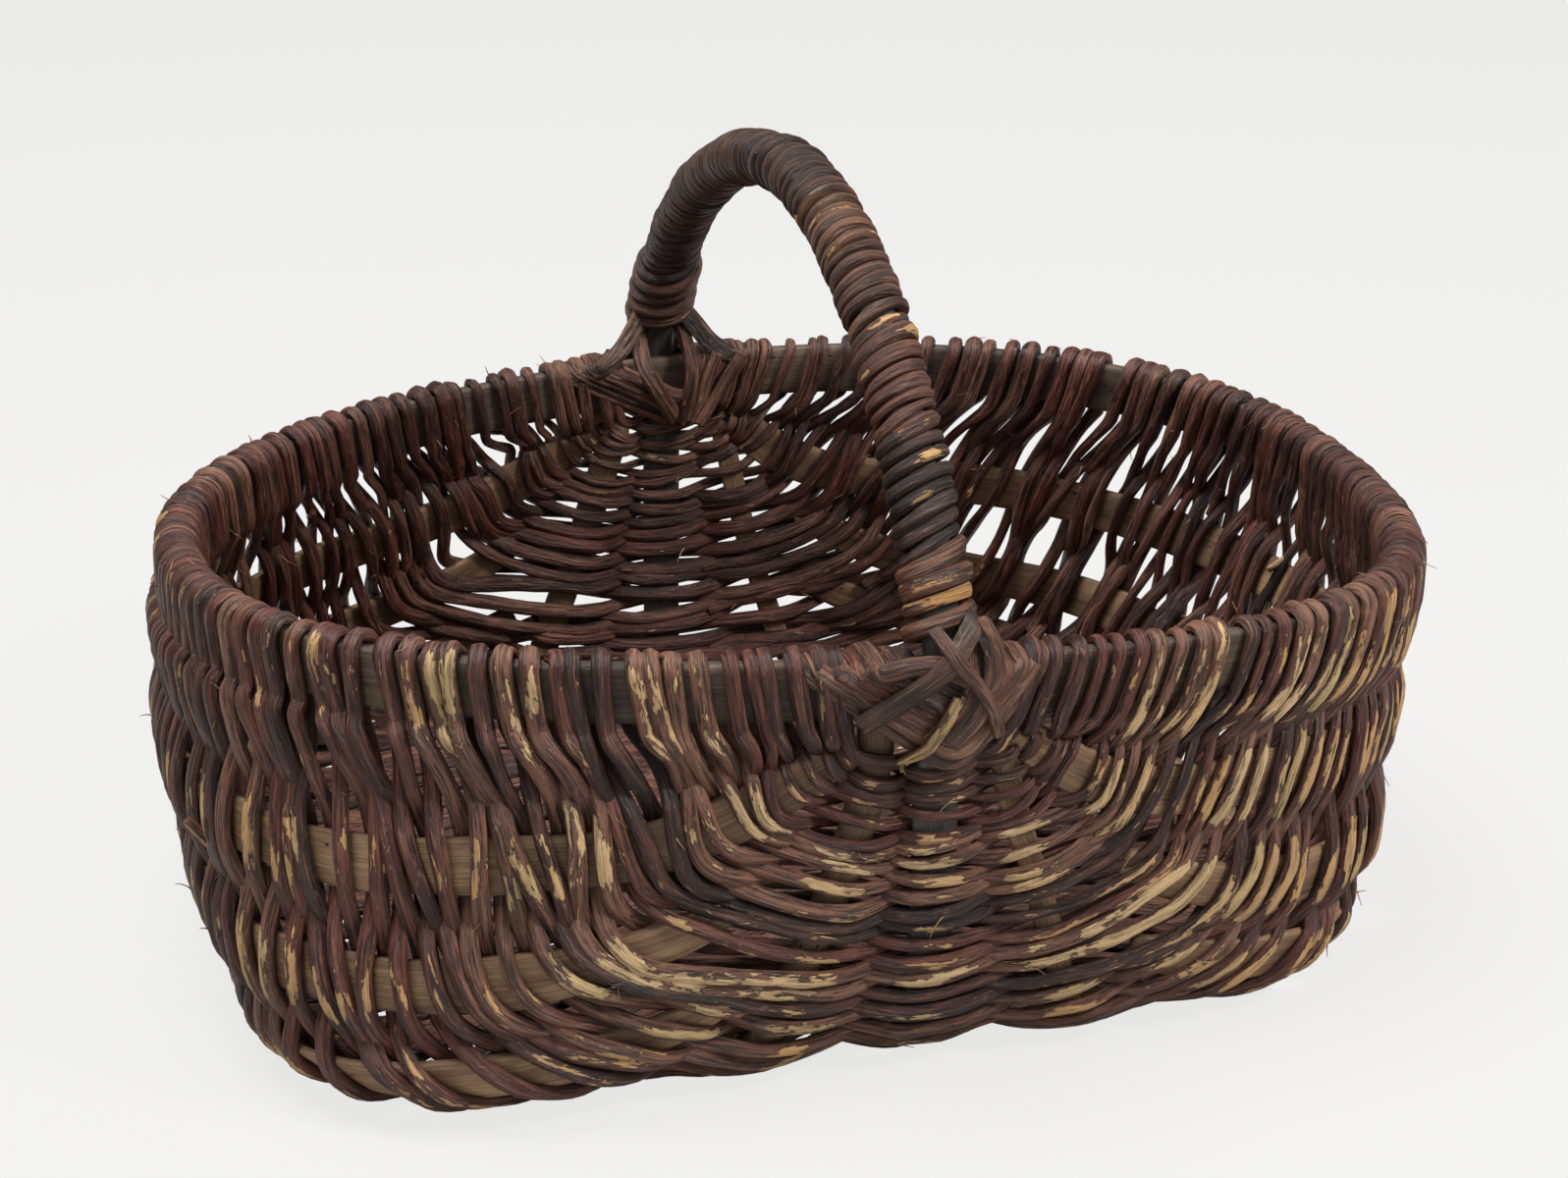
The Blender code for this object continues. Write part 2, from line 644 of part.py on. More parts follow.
def weaver_rails(number):
    """Both edges of one weaver: over the left rim, under the floor, and over the right rim."""
    middle = FIRST_ROW + number * ROW_STEP
    ribs = [rib for rib in MEMBERS if rib.crosses(number)]
    signs = [parity(number, rib.order) for rib in ribs]
    centre = [passing(rib, middle, sign) for rib, sign in zip(ribs, signs)]
    rails = []
    for row in (middle - HALF_WEAVER, middle + HALF_WEAVER):
        own = [passing(rib, row, sign) for rib, sign in zip(ribs, signs)]
        points = hook_rail(row, -1, parity(number, LEFT_RIM_ORDER) > 0)
        for k, rib in enumerate(ribs):
            points += [own[k][0][1], own[k][1][1]]
            if k + 1 < len(ribs):
                offsets = (pass_offset(rib, signs[k]), pass_offset(ribs[k + 1], signs[k + 1]))
                places = bend_places(middle, centre[k][1][0], centre[k + 1][0][0], offsets)
                points += rail_between(row, places, own[k][1][0], own[k + 1][0][0], offsets)
        points += hook_rail(row, 1, parity(number, RIGHT_RIM_ORDER) > 0)[::-1]
        rails.append(points)
    return rails


def make_weavers():
    for number in range(ROWS):
        ribbon(f"weaver_{number + 1:02d}", [weaver_rails(number)], WEAVER_THICK, BARK_DARK)


def rim_row_at(x, end):
    """The row whose place on the rim has this x, on the front (end -1) or back (1)."""
    side = 1 if x > 0 else -1
    rows = np.linspace(0, LASHED_ROWS, SEARCH_STEPS)
    if end > 0:
        rows = 1 - rows
    xs = np.array([row_point(row, 0.0 if side > 0 else HALF_TURN)[0] for row in rows])
    return float(np.interp(abs(x), np.abs(xs), rows)), side


def hoop_face(height, end):
    """Outer face of the handle hoop at a height near the rim, on the front or back."""
    if height >= RIM_HEIGHT:
        turn = math.asin(((height - RIM_HEIGHT) / ARCH_RISE) ** (1 / ARCH_POWER))
        at, _, _ = arch_frame(turn if end < 0 else math.pi - turn)
        reach = abs(at[1])
    else:
        shares = np.linspace(0, LASHED_ROWS, SEARCH_STEPS)
        shares = shares if end < 0 else 1 - shares
        places = np.array([spine_frame(share)[0] for share in shares])
        reach = np.interp(-height, -places[:, 2], np.abs(places[:, 1]))
    return reach + hoop_section(height)[1]


def vee_rail(number, end):
    """One rail of a lashing strand: over the rim, down across the hoop, and over the rim again."""
    reach = VEE_FIRST_REACH + VEE_REACH_STEP * number
    centre_height = RIM_HEIGHT + VEE_FIRST_HEIGHT - VEE_DROP_STEP * number
    up = np.array([0.0, 0.0, 1.0])
    half_hoop = SPINE_WIDE / 2 + CLEARANCE
    lift = CLEARANCE + WEAVER_THICK / 2
    halves = []
    for x_side in (-1, 1):
        row, side = rim_row_at(x_side * reach, end)
        at, out = rim_frame(row, side)
        half = [at + out * across + up * rise for across, rise in hook_profile()[:5]]
        top = half[-1][2]
        leave = half[-1] - up * RIM_THICK
        slope = (leave[2] - centre_height) / reach
        edge_height = centre_height + slope * half_hoop
        edge = np.array([x_side * half_hoop, end * (hoop_face(edge_height, end) + lift),
                         min(edge_height, top)])
        half += [leave, edge]
        halves.append(half)
    centre = np.array([0.0, end * (hoop_face(centre_height, end) + lift), centre_height])
    return halves[0] + [centre] + halves[1][::-1]


def make_lashing(name, end):
    bands = []
    for number in range(VEES):
        bands.append((vee_rail(number - VEE_FILL / 2, end), vee_rail(number + VEE_FILL / 2, end)))
    return ribbon(name, bands, WEAVER_THICK, BARK_RED)


def make_cross_strand(name, end, strand):
    """A strand laid slantwise over a lashing: its radius, and x and height over the rim's middle at
    its low end and at its high end."""
    radius, low, high = strand
    points = []
    for share in np.linspace(0, 1, 6):
        x = low[0] + (high[0] - low[0]) * share
        height = RIM_HEIGHT + low[1] + (high[1] - low[1]) * share
        face = hoop_face(height, end) + 2 * CLEARANCE + WEAVER_THICK + radius
        ease = STRAND_SETTLE * max(abs(x) - SPINE_WIDE / 2, 0)
        points.append(np.array([x, end * (face - ease), height]))
    return tube(name, points, radius, BARK_RED)


for old in list(bpy.data.objects):
    bpy.data.objects.remove(old, do_unlink=True)
PARTS = bpy.data.collections.new("handled_basket")
bpy.context.scene.collection.children.link(PARTS)

make_rim_hoop()
make_handle_hoop()
for wall_rib in (LEFT_UPPER, LEFT_MIDDLE, LEFT_LOWER, RIGHT_LOWER, RIGHT_MIDDLE, RIGHT_UPPER):
    make_flat_rib(wall_rib)
make_floor_rod()
make_flat_rib(RIGHT_SPLINT)
make_weavers()
make_handle_wrap()
make_lashing("lashing_front", -1)
make_lashing("lashing_back", 1)
make_cross_strand("cross_strand_front_thick", -1, FRONT_THICK_STRAND)
make_cross_strand("cross_strand_front_thin", -1, FRONT_THIN_STRAND)
make_cross_strand("cross_strand_back", 1, BACK_STRAND)

# Centre the box on the origin
view = bpy.context.evaluated_depsgraph_get()
lows, highs = [], []
for part in PARTS.objects:
    corners = np.array([v.co[:] for v in part.evaluated_get(view).to_mesh().vertices])
    lows.append(corners.min(axis=0))
    highs.append(corners.max(axis=0))
low = np.min(lows, axis=0)
high = np.max(highs, axis=0)
shift = Vector((-(low[0] + high[0]) / 2, -(low[1] + high[1]) / 2, -low[2]))
for part in PARTS.objects:
    part.location = shift
print(f"moved by {shift.x * 1000:.3f}, {shift.y * 1000:.3f}, {shift.z * 1000:.3f} mm")
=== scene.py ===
"""Visual model of the handled rib basket: bark-on willow woven over split ribs, lashed hoops.

Metres. X runs along the length, Y from front to back, Z up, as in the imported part.
"""

import math

import bpy
import numpy as np
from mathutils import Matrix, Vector


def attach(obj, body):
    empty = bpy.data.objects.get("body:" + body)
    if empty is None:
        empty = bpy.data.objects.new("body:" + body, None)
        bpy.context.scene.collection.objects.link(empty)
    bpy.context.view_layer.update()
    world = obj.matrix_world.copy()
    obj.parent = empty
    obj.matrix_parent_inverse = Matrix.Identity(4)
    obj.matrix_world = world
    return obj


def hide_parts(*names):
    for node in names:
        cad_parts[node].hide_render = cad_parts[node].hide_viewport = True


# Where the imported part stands: its own frame is moved by this much
SHIFT = np.array([0.003694, 0.002124, 0.000002])

# Wall surface: the middle of the ribs' thickness
RIM_HALF_LENGTH = 0.2371
RIM_HALF_WIDTH = 0.1792
RIM_HEIGHT = 0.154
RIM_POWER = 2.07
FLOOR_POWER = 4.4
BELLY = 0.024
END_TAPER = 0.182
FLOOR_EDGE_RADIUS = 0.016
FLOOR_SHIFT_X = -0.024
FLOOR_SHIFT_Y = 0.009
FRONT_RIGHT_FULLNESS = 0.14
FRONT_LEFT_FULLNESS = 0.066
FRONT_RIGHT_ANGLE = math.radians(-48)
FRONT_LEFT_ANGLE = math.radians(-140)
FULLNESS_SPREAD = math.radians(28)
WARP_ENDS = -0.0047
WARP_SADDLE = -0.0011
WARP_TWIST = 0.0044
BODY_DEPTH = RIM_HEIGHT - 0.0072

# Wood
RIM_TALL = 0.022
RIM_THICK = 0.007
RIB_WIDE = 0.020
RIB_TIP_WIDE = 0.010
RIB_THICK = 0.004
ROD_WIDE = 0.0135
ROD_THICK = 0.0085
SPLINT_WIDE = 0.010
SPINE_WIDE = 0.017
SPINE_THICK = 0.005
HANDLE_WIDE = 0.0140
HANDLE_THICK = 0.0115
ARCH_RISE = 0.1437
ARCH_LEAN = 0.08
ARCH_POWER = 1.24
ARCH_POWER_LEAN = 0.14
ARCH_SWAY = 0.001
HOOP_GAP = 0.0014
HOOP_SETTLE = 0.022

# Weaving
ROWS = 146
FIRST_ROW = 0.070
ROW_SAG = 0.42
BACK_SAG = 0.20
SAG_POWER = 5
ROW_STEP = (1 - 2 * FIRST_ROW) / (ROWS - 1)
ROW_STATIONS = 700
DRIFT_SLOPE = 0.15
STRAND_FILL = 0.81
THIN_HALF = 0.0020
THICK_HALF = 0.0035
FLATNESS = 0.80
SEAT = 0.0002
RIM_EDGE = 0.0135
RIM_LEAN = 0.45
LEFT_RIM_ORDER = 0
RIGHT_RIM_ORDER = 10
FINE_STEP = 0.0012
ROOM_SPREAD = 101
ROD_LENGTHS = (0.95, 1.6)
TAIL_LENGTHS = (0.010, 0.022)
SHORTEST_ROD = 300
INSIDE = -0.6
WEAVER_PIECES = 32
WEAVER_SIDES = 11
WEAVER_RIDGES = 0.075

# Loose fibres and broken ends
FIBRES_PER_ROD = 11
STUBS_PER_ROD = 0.35
STUB_LOWEST = 0.035
FRAY_POINTS = 7
LOWEST = -0.0008

# Winding of the handle, with places along the arch from its front foot
WRAP_PITCH = 0.0060
WRAP_HALF_WIDE = 0.0027
WRAP_HALF_THICK = 0.0025
WRAP_FOOT = 0.034
WRAP_FRONT_FOOT = 0.0235
WRAP_TILT = 0.0042
COLLAR_TURNS = 4
TAN_TURNS = (0.2586, 0.134, 0.0835, 0.0700, 0.0365)
TAN_SPREAD = 0.0030
TAN_AMOUNT = 0.75
WRAP_GAPS = (0.2023, 0.1688, 0.1434, 0.102)
GAP_SPREAD = 0.0045
GAP_AMOUNT = 0.45
WRAP_CUTS = (11.3, 17.6, 24.6, 31.0, 38.2, 45.3, 51.4, 58.0)

# Lashings: each pair is the innermost vee's place and the step to the next one
VEES = 5
VEE_LEFT = (0.0230, 0.0068)
VEE_RIGHT = (0.0145, 0.0067)
VEE_FRONT_LOW = (0.1530, -0.0058)
VEE_BACK_LOW = (0.1490, -0.0034)
VEE_MIDDLE = 0.003
PRESSED = 0.55
END_REST = 8
OVER_FAN = 0.0012
STRAP_OVER_RIM = 0.160

# Studio
FLOOR_LEVEL = -0.0016
FLOOR_COLOUR = (0.46, 0.455, 0.44)
PALE = (0.909, 0.906, 0.898)
PALE_SHARE = 0.86
WORLD_STRENGTH = 0.38
LAMP_AIM = (0, 0, 0.12)
LAMPS = (("key", (1.30, -1.10, 1.6), 0.6, 36.0, (1.0, 0.985, 0.97)),
         ("fill", (-1.2, -1.3, 1.0), 1.0, 2.5, (1.0, 1.0, 1.0)),
         ("back", (-0.4, 0.1, 1.9), 1.0, 44.0, (1.0, 1.0, 1.0)))
CAMERA_PLACE = (-0.33246203, -1.06282448, 0.57074177)
CAMERA_BACK = (-0.27840826, -0.88439739, 0.37460659)
LENS = 67.63
SENSOR = 36

HALF_TURN = math.pi
UP = np.array([0.0, 0.0, 1.0])
ACROSS = np.array([1.0, 0.0, 0.0])

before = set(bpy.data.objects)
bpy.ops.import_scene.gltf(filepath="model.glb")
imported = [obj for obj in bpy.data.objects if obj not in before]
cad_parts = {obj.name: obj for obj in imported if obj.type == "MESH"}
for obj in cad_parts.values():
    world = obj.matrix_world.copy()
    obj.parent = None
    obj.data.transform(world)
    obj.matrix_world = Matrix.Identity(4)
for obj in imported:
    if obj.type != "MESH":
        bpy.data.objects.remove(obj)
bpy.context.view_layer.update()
rng = np.random.default_rng(41)
chance = np.random.default_rng(7)


def smooth(value):
    value = np.clip(value, 0.0, 1.0)
    return value * value * (3 - 2 * value)


def fade(value, start, over):
    """0 up to start, then softly up to 1 over this much more."""
    return smooth((value - start) / over)


def unit(vectors):
    return vectors / np.maximum(np.linalg.norm(vectors, axis=-1, keepdims=True), 1e-12)


def run_along(path):
    """Length of a path up to each of its points."""
    return np.concatenate([[0], np.cumsum(np.linalg.norm(np.diff(path, axis=0), axis=1))])


def heading_of(path):
    """Direction of a path at each of its points."""
    return unit(np.gradient(path, axis=0))


def placed(name, data):
    """A new object in the scene."""
    made = bpy.data.objects.new(name, data)
    bpy.context.scene.collection.objects.link(made)
    return made


def angle_bump(angle, centre):
    off = np.angle(np.exp(1j * (angle - centre)))
    return np.exp(-((off / FULLNESS_SPREAD) ** 2))


def outline_value(x, y, depth):
    """Under 1 inside the wall surface at this depth under the rim, over 1 outside it."""
    share = np.clip(depth / BODY_DEPTH, 0, 1)
    edge = np.clip((depth - BODY_DEPTH + FLOOR_EDGE_RADIUS) / FLOOR_EDGE_RADIUS, 0, 1)
    inset = FLOOR_EDGE_RADIUS * (1 - np.sqrt(1 - edge**2))
    power = RIM_POWER + (FLOOR_POWER - RIM_POWER) * share**3
    belly = BELLY * 4 * share * (1 - share)
    half_length = RIM_HALF_LENGTH * (1 + belly - END_TAPER * share**2) - inset
    half_width = RIM_HALF_WIDTH * (1 + belly) - inset
    x_part = np.abs(x - FLOOR_SHIFT_X * share) / half_length
    y_part = np.abs(y - FLOOR_SHIFT_Y * share**2) / half_width
    return np.where(depth > BODY_DEPTH, 9.0, x_part**power + y_part**power)


def surface_points(turn, phi):
    """Points of the wall surface, found by halving along rays from the middle of the rim."""
    ray_x = RIM_HALF_LENGTH * np.sin(turn) * np.cos(phi)
    ray_y = -RIM_HALF_WIDTH * np.cos(turn) + 0 * ray_x
    ray_depth = BODY_DEPTH * np.sin(turn) * np.sin(phi)
    low = np.full(ray_x.shape, 0.2)
    high = np.full(ray_x.shape, 2.2)
    for _ in range(40):
        middle = (low + high) / 2
        outside = outline_value(ray_x * middle, ray_y * middle, ray_depth * middle) > 1
        high = np.where(outside, middle, high)
        low = np.where(outside, low, middle)
    x, y, depth = ray_x * low, ray_y * low, ray_depth * low
    angle = np.arctan2(y / RIM_HALF_WIDTH, x / RIM_HALF_LENGTH)
    reach = np.clip(np.hypot(x / RIM_HALF_LENGTH, y / RIM_HALF_WIDTH), 0, 1)
    full = 1 + FRONT_RIGHT_FULLNESS * angle_bump(angle, FRONT_RIGHT_ANGLE)
    full = full + FRONT_LEFT_FULLNESS * angle_bump(angle, FRONT_LEFT_ANGLE)
    warp = WARP_ENDS * np.cos(angle) * reach
    warp = warp + (WARP_SADDLE * np.cos(2 * angle) + WARP_TWIST * np.sin(2 * angle)) * reach**2
    height = RIM_HEIGHT - depth + warp * (1 - np.clip(depth / BODY_DEPTH, 0, 1))
    return np.stack([x * full, y * full, height], axis=-1)


class WallSurface:
    """The wall as a grid: angle phi from the right rim (0) under the floor to the left rim, and
    share of the way along that meridian from the front lashing (0) to the back one (1)."""

    def __init__(self, meridians=181, shares=361):
        phis = np.linspace(0, HALF_TURN, meridians)
        turns = np.linspace(0, HALF_TURN, 481)
        raw = surface_points(turns[None, :], phis[:, None])
        steps = np.linalg.norm(np.diff(raw, axis=1), axis=2)
        run = np.concatenate([np.zeros((meridians, 1)), np.cumsum(steps, axis=1)], axis=1)
        share = np.linspace(0, 1, shares)
        self.grid = np.empty((meridians, shares, 3))
        for i in range(meridians):
            for axis in range(3):
                self.grid[i, :, axis] = np.interp(share * run[i, -1], run[i], raw[i, :, axis])

    def point(self, share, phi):
        rows, columns = self.grid.shape[:2]
        u = np.clip(np.asarray(phi, float) / HALF_TURN, 0, 1) * (rows - 1)
        v = np.clip(np.asarray(share, float), 0, 1) * (columns - 1)
        i = np.minimum(u.astype(int), rows - 2)
        j = np.minimum(v.astype(int), columns - 2)
        a = (u - i)[..., None]
        b = (v - j)[..., None]
        near = self.grid[i, j] * (1 - b) + self.grid[i, j + 1] * b
        far = self.grid[i + 1, j] * (1 - b) + self.grid[i + 1, j + 1] * b
        return near * (1 - a) + far * a

    def normal(self, share, phi, step=0.02):
        along = self.point(share + step / 2, phi) - self.point(share - step / 2, phi)
        across = self.point(share, phi + step) - self.point(share, phi - step)
        return unit(np.cross(across, along))


WALL = WallSurface()
SPINE_PATH = WALL.point(np.linspace(0, 1, 600), np.full(600, HALF_TURN / 2))
SPINE_LENGTH = float(np.linalg.norm(np.diff(SPINE_PATH, axis=0), axis=1).sum())


def row_share(row, phi):
    """Where a row crosses a meridian: rows hang in vees near the lashings, straight midway."""
    under = np.minimum(phi, HALF_TURN - phi) / (HALF_TURN / 2)
    sag = ROW_SAG + BACK_SAG * fade(np.asarray(row), 0.62, 0.33)
    sag = sag * (1 - (1 - under) ** SAG_POWER)
    near = np.minimum(row, 1 - row)
    share = near * (1 - sag * (1 - 2 * near))
    return np.where(np.asarray(row) < 0.5, share, 1 - share)


def row_point(row, phi):
    return WALL.point(row_share(row, phi), phi)


DRIFT_WAVES = [(2 * math.pi / rng.uniform(3.2, 9.0), rng.uniform(-7.0, 7.0),
                rng.uniform(0, 2 * math.pi)) for _ in range(14)]
# Places where the rows stand apart: row, angle phi, rows and angle it spreads over, rows opened
PARTED = [
    (128.5, 2.68, 3.0, 0.14, 2.8), (97.5, 0.29, 1.8, 0.19, 1.5), (107.5, 0.31, 1.8, 0.17, 1.2),
    (87.5, 0.20, 1.6, 0.17, 1.1), (92.5, 0.36, 1.6, 0.17, 1.1), (96.5, 0.68, 1.8, 0.18, 1.5),
    (101.5, 0.72, 1.8, 0.16, 1.5), (91.5, 0.68, 1.6, 0.16, 1.1), (107.5, 0.76, 1.8, 0.16, 1.1),
    (84.5, 0.52, 1.6, 0.17, 1.1), (113.5, 1.18, 2.0, 0.12, 1.2), (120.5, 2.25, 2.2, 0.14, 1.7),
    (103.5, 0.06, 2.6, 0.18, 1.7),
    (39.5, 3.02, 2.5, 0.20, 1.3), (19.5, 0.12, 2.6, 0.22, 1.7), (135.5, 3.14, 3.5, 0.12, 1.6),
    (25.0, 2.13, 2.5, 0.12, 1.6), (10.5, 0.92, 2.5, 0.12, 1.4), (28.0, 1.06, 2.5, 0.12, 1.5),
    (48.0, 2.18, 2.5, 0.12, 1.5),
]


def drifted(number, phi):
    """Where a row really runs: the number of the even row whose place it takes."""
    number = np.asarray(number, float)
    drift = 0.0
    for wave, turn, start in DRIFT_WAVES:
        drift = drift + DRIFT_SLOPE / wave * np.sin(wave * number + turn * phi + start)
    drift = drift * (0.30 + 0.70 * smooth(np.sin(phi) / 0.45))
    for row, angle, rows, spread, amount in PARTED:
        off = (number - row) / rows
        near = np.exp(-off**2 - ((phi - angle) / spread) ** 2)
        drift = drift + amount * np.tanh(off * 2.5) * near
    return FIRST_ROW + (number + drift) * ROW_STEP


def row_normal(row, phi):
    return WALL.normal(row_share(row, phi), phi)


def first_met(phis, values, level, reached):
    """Angle at which values along a line of angles come to a level, between two of the angles."""
    k = int(np.argmax(reached))
    mix = (level - values[k - 1]) / (values[k] - values[k - 1])
    return phis[k - 1] * (1 - mix) + phis[k] * mix


class Rib:
    """A member that the rows cross. A wall rib (depth given) rises to the lashings; a floor member
    (x given) runs from lashing to lashing. Its tips lie first_row from the front lashing and
    back_row, or else the same, from the back one."""

    def __init__(self, name, order, side, front, middle, first_row, fan=0.0, wide=RIB_WIDE,
                 thick=RIB_THICK, floor=False, back_row=None):
        self.name, self.order, self.side = name, order, side
        reach = RIM_HALF_LENGTH if floor else RIM_HEIGHT
        self.front, self.middle = front * reach, middle * reach
        self.first_row, self.fan = first_row, fan
        self.wide, self.thick, self.floor = wide, thick, floor
        self.inward = (thick - RIB_THICK) / 2
        self.last_row = 1 - (first_row if back_row is None else back_row)
        self.rows = np.linspace(first_row, self.last_row, 121)
        self.phis = np.array([self.find(row) for row in self.rows])

    def crosses(self, row):
        return self.first_row <= row <= self.last_row

    def crossing(self, row):
        return np.interp(row, self.rows, self.phis)

    def find(self, row):
        """Angle phi at which a row crosses the rib."""
        if self.floor:
            swing = math.sin(HALF_TURN * row) ** 2.2
            x = self.front + (self.middle - self.front) * swing
            if x == 0:
                return HALF_TURN / 2
            phis = np.linspace(HALF_TURN / 2, HALF_TURN / 2 - self.side * 1.35, 300)
            values = row_point(row, phis)[:, 0] * self.side
            return first_met(phis, values, x, values >= x)
        depth = self.middle + (self.front - self.middle) * (2 * row - 1) ** 2
        share = float(row_share(row, HALF_TURN / 2))
        from_lashing = min(share, 1 - share) * SPINE_LENGTH
        depth = (depth ** -8 + (self.fan * from_lashing) ** -8) ** (-1 / 8)
        phis = np.linspace(HALF_TURN / 2, 0.02, 300)
        if self.side < 0:
            phis = HALF_TURN - phis
        deep = RIM_HEIGHT - row_point(row, phis)[:, 2]
        return first_met(phis, deep, depth, deep < depth)

    def half_width(self, row):
        if self.floor:
            return self.wide / 2
        from_tip = np.minimum(row - self.first_row, self.last_row - row)
        full = np.clip(from_tip / 0.08, 0, 1)
        return (RIB_TIP_WIDE + (self.wide - RIB_TIP_WIDE) * np.sqrt(full)) / 2


RIBS = [
    Rib("rib_left_upper", 1, -1, 0.26, 0.39, 0.072, 0.64),
    Rib("rib_left_middle", 2, -1, 0.54, 0.67, 0.195, 0.84),
    Rib("rib_left_lower", 3, -1, 0.75, 0.92, 0.250, 0.93),
    Rib("floor_rod_left", 4, -1, 0.080, 0.39, 0.036, wide=ROD_WIDE, thick=ROD_THICK, floor=True,
        back_row=0.072),
    Rib("handle_hoop", 5, 0, 0.0, 0.0, 0.0, wide=SPINE_WIDE, thick=SPINE_THICK, floor=True),
    Rib("floor_splint_right", 6, 1, 0.098, 0.355, 0.027, wide=SPLINT_WIDE, floor=True,
        back_row=0.072),
    Rib("rib_right_lower", 7, 1, 0.775, 0.91, 0.250, 0.93),
    Rib("rib_right_middle", 8, 1, 0.565, 0.69, 0.195, 0.84),
    Rib("rib_right_upper", 9, 1, 0.27, 0.39, 0.072, 0.66),
]


def resample(path, step, *others):
    """Points at even steps along a path, and other values carried along with them."""
    run = run_along(path)
    count = max(int(round(run[-1] / step)), 2) + 1
    places = np.linspace(0, run[-1], count)
    out = []
    for values in (path, *others):
        if values.ndim == 1:
            out.append(np.interp(places, run, values))
        else:
            out.append(np.stack([np.interp(places, run, v) for v in values.T], axis=1))
    return (*out, places)


def softened(values, passes):
    """Values averaged with their neighbours, ends kept."""
    values = values.copy()
    for _ in range(passes):
        values[1:-1] = values[1:-1] * 0.5 + (values[:-2] + values[2:]) * 0.25
    return values


def wavy(run, shortest, longest, waves=5):
    """A smooth random wave along a run, about 1 high."""
    total = np.zeros(len(run))
    for _ in range(waves):
        length = math.exp(rng.uniform(math.log(shortest), math.log(longest)))
        total = total + np.sin(run / length * 2 * math.pi + rng.uniform(0, 2 * math.pi))
    return total / math.sqrt(waves)


def cross_section(heading, ups, wide, thick, sides, power):
    """Spokes from each point of a path to the vertices round it, the same in the section's own
    plane, and the direction of its thickness. A power under 1 squares the section off."""
    side = unit(np.cross(heading, ups))
    up = np.cross(side, heading)
    turn = 2 * math.pi * (np.arange(sides) + 0.5) / sides
    shape = np.stack([np.cos(turn), np.sin(turn)], axis=1)
    shape = np.sign(shape) * np.abs(shape) ** power
    flat = shape * np.stack([wide, thick], axis=1)[:, None]
    return side[:, None] * flat[..., :1] + up[:, None] * flat[..., 1:], flat, up


